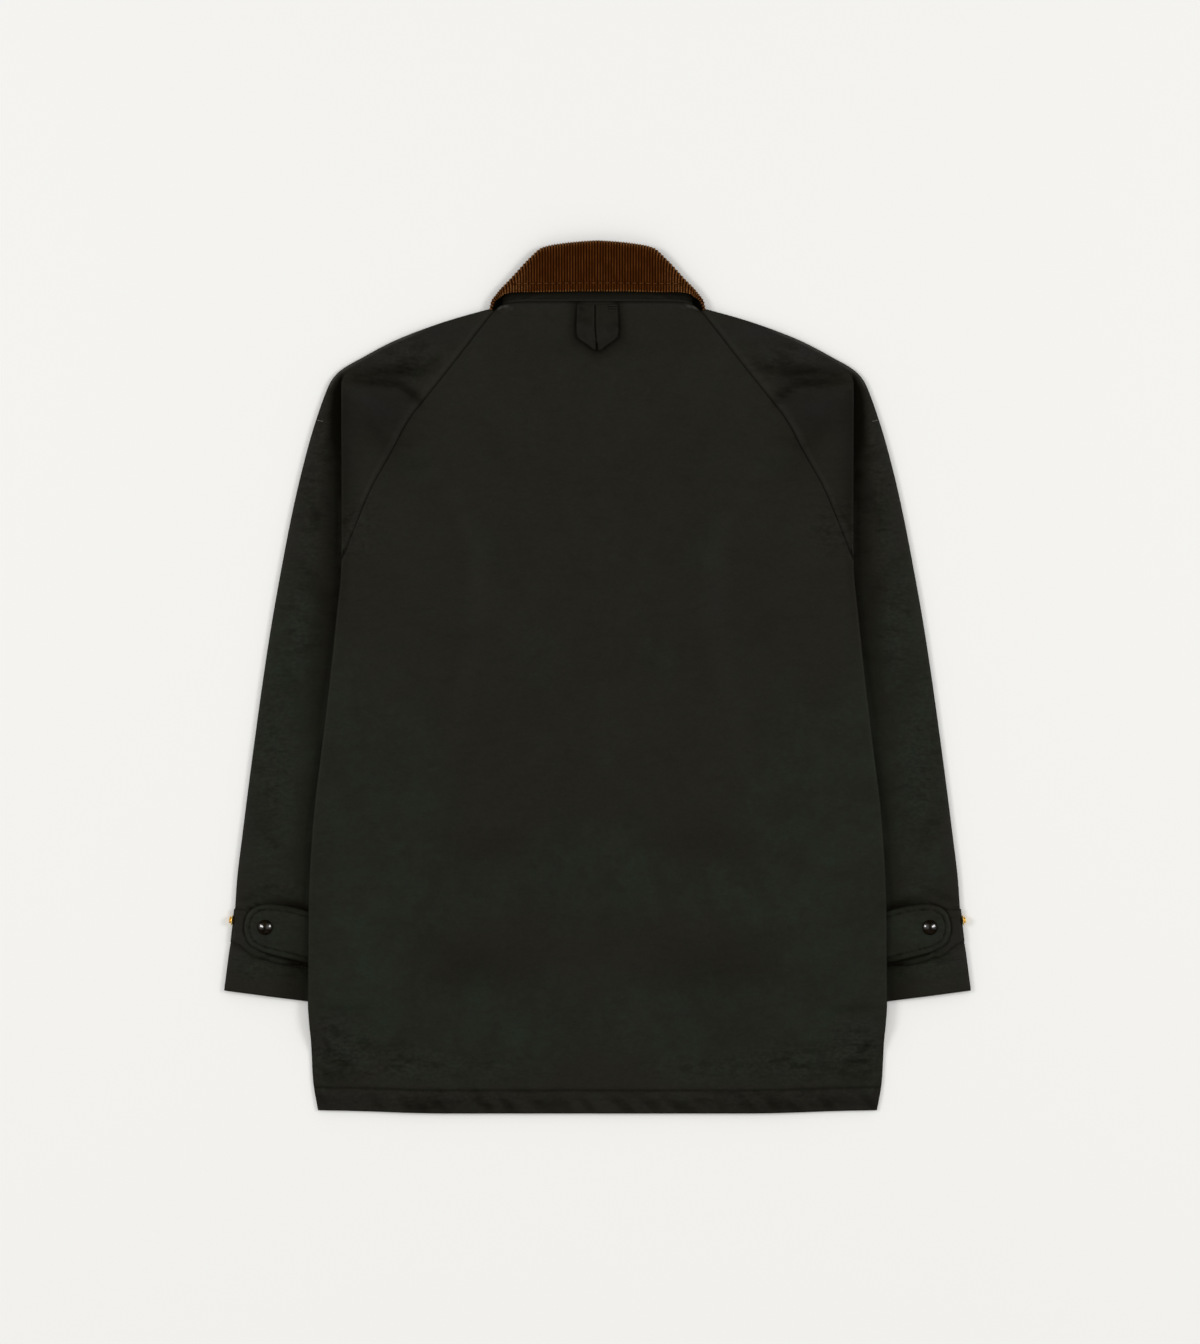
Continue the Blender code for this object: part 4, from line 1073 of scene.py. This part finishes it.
collarPiece = {
    "pile": 1.8,  # cloth and half the ridges' height
    "waleRise": 1.0,
    "wale": 2.75,
    "columnsPerWale": 6,
    "top": smoothTable([(0, 437), (20, 435.6), (44.5, 432.6), (56.5, 429.3), (64, 423.3), (70.4, 417),
                        (88.9, 397), (96.5, 389.3), (102.3, 382.2), (106.0, 377), (107.8, 370),
                        (108.3, 367.3)]),
    "edge": smoothTable([(0, 385.7), (20, 385.7), (44.5, 385.3), (56.5, 385), (63.5, 385), (72.5, 385),
                         (84.5, 384.6), (94.5, 382.5), (102.5, 378), (107.5, 369), (108.3, 367.3)]),
    "end": 108.3,
    "lastWale": 93.6,
    "topHeight": 11.6,
    "edgeHeight": 8.9,
    "hookHeight": 3.6,
    "hook": 6.0,
    "sideStart": 26.0,
    "sideFull": 42.0,
    "tail": 44,  # columns round the corner, where the wales run out
    "tailWidth": (5.2, 0.3),
    "flatRows": 20,
    "roundRows": 12,
    "rollStart": (38.5, 418.0),
    "rollEnd": (31.0, 380.0),
    "stitchLine": 8.3,  # above the free edge
    "leaves": [(105.5, 362, 29.5, 376), (98, 342, 25, 367), (86, 322, 19, 357), (70, 301, 13, 346),
               (50, 282, 7.5, 336), (27, 306, 3, 328)],
}


def collarRim(reachAt):  # the outline, its outward direction and the line where the flat top ends
    samples = []
    xs = collarPiece["end"] * np.sin(math.pi / 2 * np.arange(121) / 120)
    points = [Vector((x, collarPiece["top"](x))) for x in xs]
    for before, point, after in zip([points[0]] + points, points, points[1:] + [points[-1]]):
        d = (after - before).normalized()
        out = Vector((-d.y, d.x))
        reach = reachAt(point.x)
        samples.append((point, out, reach, point - out * reach))
    return samples


def between(a, b, t):  # two samples mixed
    return a[0].lerp(b[0], t), a[1].lerp(b[1], t).normalized(), mix(a[2], b[2], t), a[3].lerp(b[3], t)


def rimAt(samples, x, key):  # the sample at x, sought on the outline (0) or where the flat top ends (3)
    for before, after in zip(samples, samples[1:]):
        start, end = before[key].x, after[key].x
        if start <= x <= end:
            return between(before, after, (x - start) / max(end - start, 1e-9))
    return samples[-1]


def rollAt(along):  # the line on which the collar's leaf turns flat
    return Vector(collarPiece["rollStart"]).lerp(Vector(collarPiece["rollEnd"]), along)


def atSide(x):
    c = collarPiece
    return ease((x - c["sideStart"]) / (c["sideFull"] - c["sideStart"]))


def fallBottom(x):
    return mix(collarPiece["hookHeight"], collarPiece["pile"], atSide(x))


def fallTop(x):
    c = collarPiece
    return mix(c["topHeight"], c["edgeHeight"], ease((x - c["sideFull"]) / (c["lastWale"] - c["sideFull"])))


def fallColumn(edge, border, out, lean, reach, radius, high, width):  # over the flat top, round and under
    c = collarPiece
    flat, rounded = c["flatRows"], c["roundRows"]
    column = []
    inwards = -lean / lean.dot(out)
    centre = border + inwards * reach
    edge = edge or border + inwards * (c["pile"] + width)
    if width >= radius:
        for j in range(flat + 1):
            place = edge.lerp(centre, j / flat)
            column.append((place.x, place.y, mix(c["edgeHeight"], high, j / flat)))
        angles = [math.pi * j / rounded for j in range(1, rounded + 1)]
    else:
        near = [0.03 * j / flat for j in range(flat + 1)]
        near += [mix(0.03, 1.0, j / rounded) for j in range(1, rounded + 1)]
        angles = [mix(math.asin(1 - width / radius), math.pi, t) for t in near]
    for angle in angles:
        place = border + inwards * (reach - radius * math.sin(angle))
        column.append((place.x, place.y, high - radius + radius * math.cos(angle)))
    return column, centre


def fallColumns():  # the right half: wales down the back, the tail over the roll, then the leaf beneath
    c = collarPiece
    samples = collarRim(lambda x: (fallTop(x) - fallBottom(x)) / 2 + c["pile"])
    step = c["wale"] / c["columnsPerWale"]
    places = []
    for x in step * np.arange(int(c["lastWale"] / step) + 1):
        out, reach = rimAt(samples, x, 0)[1:3]
        places.append((x, Vector((x, c["edge"](x))), Vector((x, c["top"](x))), out, reach))
    wales = len(places)
    tail = [sample for sample in samples if sample[0].y < places[-1][2].y - 0.3]
    for k in range(c["tail"] + 1):
        low, part = divmod(k * (len(tail) - 1) / c["tail"], 1)
        border, out, reach = between(tail[int(low)], tail[min(int(low) + 1, len(tail) - 1)], part)[:3]
        places.append((c["lastWale"], None, border, out, reach))
    columns, phases = [], []
    passed = 0.0
    for number, (x, edge, border, out, reach) in enumerate(places):
        radius = reach - c["pile"]
        gone = (number - wales + 1) / (c["tail"] + 1)
        width = radius if edge else mix(*c["tailWidth"], gone ** 0.8)
        lean = Vector((0, 1)).lerp(out, ease(gone / 0.55)).normalized()
        lean = lean.lerp(Vector((1, 0)), ease((gone - 0.7) / 0.3)).normalized()
        high = fallBottom(border.x) + 2 * radius
        column, centre = fallColumn(edge, border, out, lean, reach, radius, high, width)
        roll = rollAt((border.x - c["sideFull"]) / (c["end"] - c["sideFull"]))
        roll.x = min(roll.x, x)
        end = (centre - out * c["hook"]).lerp(roll, atSide(x))
        columns.append(column + [(end.x, end.y, column[-1][2])])
        if number >= wales:
            passed += (border - places[number - 1][2]).length * 0.8
        phases.append((x + passed) / c["wale"])
    return columns + leafColumns(c["leaves"], len(columns[0]), c["pile"]), phases, wales


def leafColumns(leaves, height, z):  # the leaf that runs on beneath the back, from its edge to the roll
    return [[None] * (height - 2) + [(*leaf[:2], z), (*leaf[2:], z)] for leaf in leaves]


def asGrid(rows):
    return np.array([[p if p is not None else (np.nan,) * 3 for p in row] for row in rows], float)


def addFall():
    c = collarPiece
    columns, phases, wales = fallColumns()
    half = asGrid(columns)
    count, height = half.shape[:2]
    x, y = half[:, :, 0], half[:, :, 1]
    turn = np.arange(height) - c["flatRows"] + np.zeros((count, 1))  # rows past the flat top
    crest, rim = np.zeros((count, height)), np.full((count, height), 0.5)
    crest[:len(phases), :-2] = 0.5 - 0.5 * np.cos(2 * np.pi * np.array(phases))[:, None]
    rise = y[:wales] - c["edge"](x[:wales])
    # painted highlight along the free edge and round the roll, and lighter tips towards the sides
    rim[:wales] = np.maximum(0.8 * band(rise, 0.9), 0.42 * ease((x[:wales] - 58) / 30))
    rim *= turn <= 0
    rolled = (turn > 0) & (turn <= c["roundRows"])
    rim[rolled] = band(turn[rolled] - c["roundRows"] * 0.38, 2.3)
    sewn = np.zeros((count, height))
    sewn[:wales] = band(rise - c["stitchLine"], 0.9) * (turn[:wales] <= 0)
    # painted shade on the inner side of the roll
    inner = 0.97 * ((turn > c["roundRows"] * 0.6) & (y > 355))
    order = [*range(count - 1, 0, -1), *range(count)]  # from the left leaf's end to the right one's
    tables = (half, crest, rim, sewn, inner)
    grid, crest, rim, sewn, inner = [table[order, ::-1].swapaxes(0, 1) for table in tables]
    grid[:, :count - 1, 0] *= -1
    mesh, used = gridMesh("collar_fall_cloth", grid, settled=False)
    area = surfaceArea(mesh)
    crest, rim, sewn, inner = crest[used], rim[used], sewn[used], inner[used]
    points = meshPoints(mesh)
    x, y = points[:, 0], points[:, 1]
    points[:, 2] += 0.35 * wander(x, y, 38.0, 4.4) * ease((points[:, 2] - 7) / 2)
    mesh.vertices.foreach_set("co", (points * mm).ravel())
    profile = crest * (1 - 0.45 * sewn)
    thick = c["pile"] + c["waleRise"] / 2
    least = (c["pile"] - c["waleRise"] / 2) / thick
    uneven = 1 + 0.12 * wander(x, y, 3.2, 8.8)
    shares = np.clip(least + (1 - least) * profile * uneven - 0.12 * sewn, 0, 1)
    paint(mesh, "crest", profile)
    paint(mesh, "rim", rim)
    # painted shade at the stitch line's valleys and inside the roll, with a random tone
    paint(mesh, "paintedShade", np.clip(0.28 * sewn * (1 - crest) + 0.10 * wander(x, y, 16.0, 5.1) + inner, 0, 1))
    walled = thicken("collar_fall_cloth", mesh, thick, 1.0, shares)
    return addPiece("collar_fall_cloth", walled, pile, ["collar_fall"]), area


collarFall, fallArea = addFall()
print(f"collar fall: {len(collarFall.data.polygons)} faces, {fallArea:.4f} m2")


# the collar's stand, which shows as a neck band

standPiece = {
    "inset": 8.2,  # from the collar's outline
    "side": 54.0,  # from here outwards it turns under, on to its leaf
    "end": 95.0,
    "columns": 48,
    "flat": 9,
    "round": 6,
    "leaves": [(96, 357, 30, 377), (88.5, 345, 25, 367), (62, 335.2, 18, 356), (34, 329.8, 10, 342),
               (4, 327.8, 3.5, 333)],
}


def standRows():
    s = standPiece
    high, low = cut["middleHeight"] + cut["leafRise"], cut["low"] + cut["leafRise"]
    radius = (high - low) / 2
    samples = collarRim(lambda x: s["inset"])
    rises = [0.0, 0.012, 0.03, 0.06, 0.1] + [mix(0.1, 1.0, j / s["flat"]) for j in range(1, s["flat"] + 1)]
    columns = []
    for x in [s["end"] * k / s["columns"] for k in range(s["columns"] + 1)]:
        edge = Vector((x, backNeck(x) + 0.08))
        sample = rimAt(samples, x, 3)
        out, shoulder = sample[1], sample[3]
        column = [(*edge.lerp(shoulder, rise), high) for rise in rises]
        if x < s["side"]:
            column += [None] * (s["round"] + 1)
        else:
            for angle in [math.pi * j / s["round"] for j in range(1, s["round"] + 1)]:
                place = shoulder + out * radius * math.sin(angle)
                column.append((*place, high - radius + radius * math.cos(angle)))
            roll = rollAt((x - s["side"]) / (s["end"] - s["side"])) + Vector((2, 3))
            column.append((*roll, low))
        columns.append(column)
    columns += leafColumns(s["leaves"], len(columns[0]), low)
    return [mirrored(row[1:]) + list(row) for row in zip(*columns)]


collarStand, standArea = clothPiece("collar_stand_cloth", asGrid(standRows()), cut["wall"], trimCloth,
                                    ["collar_stand"], shade=standShade)
print("collar stand ready")


# pieces that lie on a panel: they move with what carries them

def shiftOf(x, y, carrier):  # how far a panel's surface of this height has moved
    return settle(np.stack([x, y, carrier], axis=1))[:, 2] - carrier


def laidPiece(name, rows, wall, replaced, carrierOf, relief, shade, side=1):
    grid = asGrid(rows)
    there = ~np.isnan(grid[:, :, 0])
    points = grid[there]
    x, y = points[:, 0], points[:, 1]
    points[:, 2] += shiftOf(x, y, carrierOf(points)) + relief(x, y)
    grid[there] = points
    return clothPiece(name, grid, wall, trimCloth, replaced, side, False, shade)


# the hanger loop

loopPiece = {
    "wall": 1.3,
    "lift": 1.75,  # its middle, above the middle of the back
    "columns": 12,
    "legs": [(372.5, 0.5, 20.6, 0.0), (371, 0.5, 20.7, 0.1), (368, 0.45, 20.8, 0.35), (362, 0.45, 21.0, 0.9),
             (356, 0.45, 21.3, 1.5), (352, 0.45, 21.4, 1.8), (348, 0.45, 21.4, 2.0), (345, 0.45, 21.2, 2.1),
             (342, 0.45, 20.7, 2.1), (340, 0.45, 20.3, 2.0)],
    "tip": [(337.5, 0.4, 17.6, 1.8), (334, 0.35, 12.4, 1.5)],
    "slit": [(332.4, 0.8, 10.2, 1.3), (330.5, 1.0, 7.6, 1.2), (328.5, 1.1, 5.0, 1.1), (326.5, 1.1, 2.6, 0.9)],
}


def loopRise(x, rise):  # each leg bows up a little in its middle, and sits down at its edges
    leg = abs(x) / 21.0
    return rise * math.cos(x / 24) + 0.35 * math.sin(math.pi * min(leg, 1)) - 0.35 * max(0, leg - 0.86) / 0.14


def loopLegs():  # finer rows where the tacks are sewn
    table = np.array(sorted(loopPiece["legs"]))
    places = sorted({*table[:, 0], *np.arange(363.4, 372.2, 0.61)}, reverse=True)
    return [tuple(np.interp(y, table[:, 0], column) for column in table.T) for y in places]


def loopRows(hand):
    rows = []
    for y, inner, outer, rise in loopLegs() + loopPiece["tip"] + loopPiece["slit"]:
        start = loopMiddle(y) + hand * inner
        xs = [mix(start, hand * outer, k / loopPiece["columns"]) for k in range(loopPiece["columns"] + 1)]
        row = [(x, y, backHeight(x, y) + loopPiece["lift"] + loopRise(x, rise)) for x in xs]
        rows.append(row[::hand])
    return rows


def loopRelief(x, y):
    away = np.abs(x - loopMiddle(y))
    relief = 0.25 * band(away - 2.4, 1.2) - 0.7 * band(away, 0.9) + 0.12 * wander(x, y, 5.0, 6.6)
    relief -= 0.45 * band(y - 352 - 0.25 * (x - 8), 2.2) * ease((x - 4) / 6)
    relief -= 0.35 * band(y - 350 + 0.5 * (x + 12), 2.0) * ease((-6 - x) / 6)
    return relief - 0.3 * band(y - 366, 4.5) * (x > 10)


def onBackCloth(points):
    return backHeight(points[:, 0], points[:, 1])


def addLoop():  # both legs are one piece: their rows are joined in the middle, just above the slit
    rows = []
    for right, left in zip(loopRows(1), loopRows(-1)):
        y, z = right[0][1:]
        rows.append(left + [(loopMiddle(y), y, z) if 333 <= y <= 338 else None] + right)
    return laidPiece("hanger_loop_cloth", rows, loopPiece["wall"], ["hanger_loop"],
                     onBackCloth, loopRelief, loopShade)


hangerLoop, loopArea = addLoop()
print("hanger loop ready")


# the cuffs: tab, strap, snap cap and stud

def tabRows():
    xs = [*np.linspace(tabStart, 330, 24), *np.linspace(332, 349, 14),
          350.4, 351.4, 352.2, 352.8, 353.2, tabEnd]
    return [[(x, mix(tabHigh(x), tabLow(x), k / 26), tabBase(x)) for k in range(27)] for x in xs]


def tabRelief(x, y):
    across = np.abs(x)
    edge, sewn = distance(across, y, tabEdge), distance(across, y, tabSewn)
    capX, capY = cuffPiece["cap"]
    relief = 0.35 * band(edge - 2.9, 1.8) - 0.6 * band(edge, 1.3) - 0.5 * band(sewn, 1.0)
    relief -= 0.5 * band(np.hypot(across - capX, y - capY) - 8.5, 2.2)
    return relief + 0.34 * wander(across * 0.8, y, 3.4, 9.9) * band(sewn - 1.5, 3.0)


def onArmTop(points):
    return np.full(len(points), cut["armTop"])


def onArmEdge(points):
    return np.clip(points[:, 2] - 2.0, cut["low"], cut["armTop"])


def strapRows():
    c = cuffPiece
    reach = armRadius + c["strapLift"]
    top = cut["low"] + armRadius + reach
    tongueX, tongueZ = c["tongueEnd"]
    tongueLow = smoothTable(c["tongue"])
    rows = []
    for number, y in enumerate(np.linspace(*c["strapY"], 14)):
        outer = armOuter(y)
        bend = outer - armRadius
        section = [(c["strapInner"], top)] + run((c["strapInner"], top), (bend, top), 10)
        section += arc((bend, cut["low"] + armRadius), reach, 90, 90 - c["strapTurn"], 10)
        lower = number / 13 * c["strapSlant"]  # its lower edge runs down beside the tab
        row = [(x, y - armTilt(y) * (outer - x) - lower * ease((outer - x) / 25), z) for x, z in section]
        tongue = [None] * 10
        if number > 10:  # what shows of it below the tab
            xs = [mix(tongueX, c["strapInner"] - 2.0, k / 9) for k in range(10)]
            tongue = [(x, mix(tabLow(x) - 0.45, tongueLow(x), (number - 11) / 2),
                       mix(tongueZ, top, ease((x - 300) / 30))) for x in xs]
        rows.append(tongue + row)
    return rows


def strapRelief(x, y):
    level = y + cut["cuffTilt"] * (armOuter(y) - np.abs(x))
    top, bottom = level - cuffPiece["strapY"][0], cuffPiece["strapY"][1] - level
    return sum(0.2 * band(edge + 2.5, 1.5) - 0.4 * band(edge, 1.2) for edge in (top, bottom))


def tubeFaces(first, rings, sides):  # the faces on rings of points, with a cap at each end
    faces = []
    for ring in range(first, first + (rings - 1) * sides, sides):
        for k in range(sides):
            n = (k + 1) % sides
            faces.append((ring + k, ring + n, ring + sides + n, ring + sides + k))
    last = first + (rings - 1) * sides
    return faces + [tuple(reversed(range(first, first + sides))), tuple(range(last, last + sides))]


def turned(name, profile, place, axis, material, replaced, steps):  # from rows of radius and height
    angles = 2 * np.pi * np.arange(steps) / steps
    points = np.array([(radius * math.cos(a), radius * math.sin(a), height)
                       for radius, height in profile for a in angles])
    faces = [face[::-1] for face in tubeFaces(0, len(profile), steps)]
    mesh = bpy.data.meshes.new(name)
    mesh.from_pydata((points * mm).tolist(), [], faces)
    mesh.shade_smooth()
    mesh.set_sharp_from_angle(angle=math.radians(40))
    x, y = points[:, 0], points[:, 1]
    flanks = np.exp(-((np.abs(x) - 3.6) / 2.4) ** 4 - ((y - 1.1) / 2.4) ** 4)
    paint(mesh, "paintedHighlight", flanks)  # painted highlight: the coat is painted on at two places on the flanks, where the lamps are reflected
    turn = Vector((0, 0, 1)).rotation_difference(Vector(axis)).to_matrix().to_4x4()
    mesh.transform(Matrix.Translation(Vector(place) * mm) @ turn)
    addPiece(name, mesh, material, replaced)


capProfile = [(0.05, 3.4), (0.7, 3.37), (1.4, 3.26), (2.2, 3.03), (3.0, 2.74), (4.0, 2.35), (5.0, 1.93),
              (5.8, 1.55), (6.5, 1.13), (7.1, 0.66), (7.5, 0.25), (7.62, -0.1), (7.5, -0.4), (7.0, -0.55)]
studProfile = [(1.2, 3.0), (2.2, 3.25), (3.0, 3.2), (3.5, 2.8), (3.5, 2.3), (3.1, 1.85), (3.0, 1.5),
               (3.6, 1.25), (4.3, 1.15), (4.75, 0.95), (4.9, 0.55), (4.8, 0.15), (4.5, 0.0)]

tabs, straps = {}, {}
capX, capY = cuffPiece["cap"]
capFoot = cuffPiece["capFoot"] + shiftOf(*np.array([[capX], [capY], [cut["armTop"]]]))[0]
studX = armOuter(cuffPiece["studPlace"][0]) + cuffPiece["studOut"]
for side, hand in hands:
    tabs[hand], tabArea = laidPiece(f"cuff_tab_cloth_{hand}", tabRows(), cuffPiece["tabWall"],
                                    [f"cuff_tab_{hand}"], onArmTop, tabRelief, tabShade, side)
    straps[hand], strapArea = laidPiece(f"cuff_strap_cloth_{hand}", strapRows(), cuffPiece["strapWall"],
                                        [f"cuff_strap_{hand}"], onArmEdge, strapRelief, strapShade, side)
    turned(f"snap_cap_enamel_{hand}", capProfile, (side * capX, capY, capFoot), (0, 0, 1), enamel,
           [f"snap_cap_{hand}"], 48)
    turned(f"cuff_stud_brass_{hand}", studProfile, (side * studX, *cuffPiece["studPlace"]),
           (side, 0.12, 0), brass, [f"cuff_stud_{hand}"], 40)
print("cuffs ready")


# stitching: short threads laid end to end along a path, joined to one mesh

sewing = {
    "size": (2.7, 0.55, 0.75),  # length, width and gap
    "sides": 6,
    "rings": [(-0.5, 0.35, -0.28), (-0.3, 1.0, 0.0), (0.3, 1.0, 0.0), (0.5, 0.35, -0.28)],
    "lift": 0.1,
}


def alongPath(path, step):  # places at even steps, with the direction at each
    points, done = measured(path)
    at = np.arange(step / 2, done[-1] - step / 2, step)

    def read(at):
        return np.stack([np.interp(at, done, points[:, axis]) for axis in (0, 1)], axis=1)

    return read(at), read(at + 0.5) - read(at - 0.5)


def stitches(name, paths, heightOf, material, size=sewing["size"]):
    length, width, gap = size
    sides = sewing["sides"]
    verts, faces = [], []
    for path in paths:
        places, ways = alongPath(path, length + gap)
        for place, way, z in zip(places, ways, heightOf(*places.T)):
            along = Vector((*way, 0)).normalized()
            over = Vector((-along.y, along.x, 0))
            faces += tubeFaces(len(verts), len(sewing["rings"]), sides)
            for t, grow, sink in sewing["rings"]:
                middle = Vector((*place, z + sink)) + along * (t * length)
                for a in [2 * math.pi * k / sides for k in range(sides)]:
                    turn = over * math.cos(a) + Vector((0, 0, math.sin(a)))
                    verts.append((middle + turn * (grow * width / 2)) * mm)
    mesh = bpy.data.meshes.new(name)
    mesh.from_pydata(verts, [], faces)
    mesh.shade_smooth()
    return addPiece(name, mesh, material)


def onCloth(x, y, z):
    return z + shiftOf(x, y, z) + cut["wall"] / 2 + sewing["lift"]


def onBack(x, y):
    return onCloth(x, y, backHeight(x, y)) + 0.02


def onSleeve(x, y):
    return onCloth(x, y, np.full(len(x), cut["armTop"])) + 0.02


def onStand(x, y):
    return onCloth(x, y, np.full(len(x), cut["middleHeight"] + cut["leafRise"]))


def onTab(x, y):
    own = tabBase(np.abs(x)) - cut["armTop"] + tabRelief(x, y) + (cuffPiece["tabWall"] - cut["wall"]) / 2
    return onCloth(x, y, np.full(len(x), cut["armTop"])) + own


def onLoop(x, y):
    rise = smoothTable([(row[0], row[3]) for row in loopPiece["legs"] + loopPiece["tip"] + loopPiece["slit"]])
    bow = np.array([loopRise(a, rise(b)) for a, b in zip(x, y)])
    return onCloth(x, y, backHeight(x, y)) + loopPiece["lift"] + bow + loopRelief(x, y)


def onFall(x, y):
    flat = collarPiece["edgeHeight"] + collarPiece["pile"] + 0.2
    return flat + np.interp(y - 385.0, [0, 40], [0.0, 2.2]) - 0.3 * (1 + wander(x, y, 9.0, 4.4))


hemPath = [(x, hemLine(x) + cut["hemDepth"] + 0.2) for x in np.linspace(-284.5, 284.5, 200)]
neckPath = [(x, backNeck(x) + 2.4) for x in np.linspace(-93, 93, 80)]
loopPaths = [[(11.5 + 0.4 * row, y), (20.0, y + 0.3)] for row, y in enumerate((371.5, 369.1, 366.6))]
fallPath = [(x, collarPiece["edge"](abs(x)) + collarPiece["stitchLine"]) for x in np.linspace(-82, 82, 90)]
hemStitching = stitches("hem_stitching", [hemPath], onBack, darkThread)
neckStitching = stitches("neck_stitching", [neckPath], onStand, darkThread, (2.4, 0.55, 0.75))
loopStitching = stitches("loop_stitching", loopPaths, onLoop, loopThread, (1.6, 0.6, 0.3))
fallStitching = stitches("collar_stitching", [fallPath], onFall, rustThread, (4.6, 0.45, 2.2))

cuffLine, cuffEdge = sleevePiece["cuffLine"], armOuter(sleevePiece["cuffLine"])
cuffPath = [(x, cuffLine - armTilt(cuffLine) * (cuffEdge - x)) for x in np.linspace(cuffEdge - 3, 286, 30)]
tabPath = [p for p in tabStitchPath if p[0] > 289]
tackPath = [(280.6, 257.2), (274.2, 255.6)]
onSleeves, onTabs = {}, {}
for side, hand in hands:
    cuff, tab, tack = [[(side * x, y) for x, y in path] for path in (cuffPath, tabPath, tackPath)]
    onSleeves[hand] = [stitches(f"cuff_stitching_{hand}", [cuff], onSleeve, darkThread),
                       stitches(f"sleeve_tack_{hand}", [tack], onSleeve, paleThread, (2.9, 0.6, 0.15))]
    onTabs[hand] = [stitches(f"tab_stitching_{hand}", [tab], onTab, darkThread, (2.3, 0.55, 0.75))]
print("stitching ready")


# every piece of cloth: the size it was cut to, its flat area, what it lies on, and what is sewn on it

sheets = [
    (backCloth, (0.62, 0.82), backArea, [*fronts.values(), *sleeves.values()], [hemStitching]),
    (collarFall, (0.46, 0.10), fallArea, [collarStand], [fallStitching]),
    (collarStand, (0.42, 0.08), standArea, [backCloth], [neckStitching]),
    (hangerLoop, (0.045, 0.05), loopArea, [backCloth], [loopStitching]),
]
for hand in ("left", "right"):
    sheets += [
        (fronts[hand], (0.32, 0.81), frontArea, [sleeves[hand]], []),
        (sleeves[hand], (0.47, 0.74), sleeveArea, [fronts[hand]], onSleeves[hand]),
        (tabs[hand], (0.085, 0.058), tabArea, [sleeves[hand]], onTabs[hand]),
        (straps[hand], (0.085, 0.055), strapArea, [sleeves[hand]], []),
    ]
for piece, flat, area, under, sewnOn in sheets:
    print(f"{piece.name}: cut {flat[0]} x {flat[1]} m, {area:.5f} m2")


# camera, floor and light

studio = {
    "middle": (0.0025, 0.005),
    "height": 3.743,
    "lens": 100.0,
    "floor": colour(0.86, 0.855, 0.835),
    "ambient": 0.62,
    "lights": [("light_left", (-3.5, 0.7, 3.5), 1.5, 71.0), ("light_right", (3.5, 0.7, 3.5), 1.5, 71.0),
               ("light_below", (0, -3.6, 3.4), 2.0, 12.0)],  # place and side in metres, and power
}

for name, place, side, power in studio["lights"]:
    data = bpy.data.lights.new(name, "AREA")
    data.size = side
    data.energy = power
    lamp = bpy.data.objects.new(name, data)
    lamp.location = place
    lamp.rotation_euler = (-Vector(place)).to_track_quat("-Z", "Y").to_euler()
    bpy.context.scene.collection.objects.link(lamp)

floorMesh = bpy.data.meshes.new("floor")
floorMesh.from_pydata([(-6, -6, 0), (6, -6, 0), (6, 6, 0), (-6, 6, 0)], [], [(0, 1, 2, 3)])
floor = bpy.data.objects.new("floor", floorMesh)
floor.location = (0, 0, -0.0002)
bpy.context.scene.collection.objects.link(floor)
floorMaterial, floorPlace, joinFloor = newMaterial("pale_floor", {
    "Specular IOR Level": 0.0, "Base Color": studio["floor"]})
joinFloor("Roughness", 0.9 + floorPlace.noise(0.5, 1.0, 0.4) * 0.05)
floorMesh.materials.append(floorMaterial)

world = bpy.data.worlds.new("studio")
world.use_nodes = True
sky = world.node_tree.nodes["Background"]
sky.inputs["Color"].default_value = colour(1.0, 0.995, 0.985)
sky.inputs["Strength"].default_value = studio["ambient"]
bpy.context.scene.world = world

cameraData = bpy.data.cameras.new("camera")
cameraData.lens = studio["lens"]
cameraData.sensor_width = 36.0
cameraData.clip_end = 30.0
camera = bpy.data.objects.new("camera", cameraData)
camera.location = (*studio["middle"], studio["height"])
bpy.context.scene.collection.objects.link(camera)
bpy.context.scene.camera = camera
bpy.context.scene.view_settings.view_transform = "Standard"
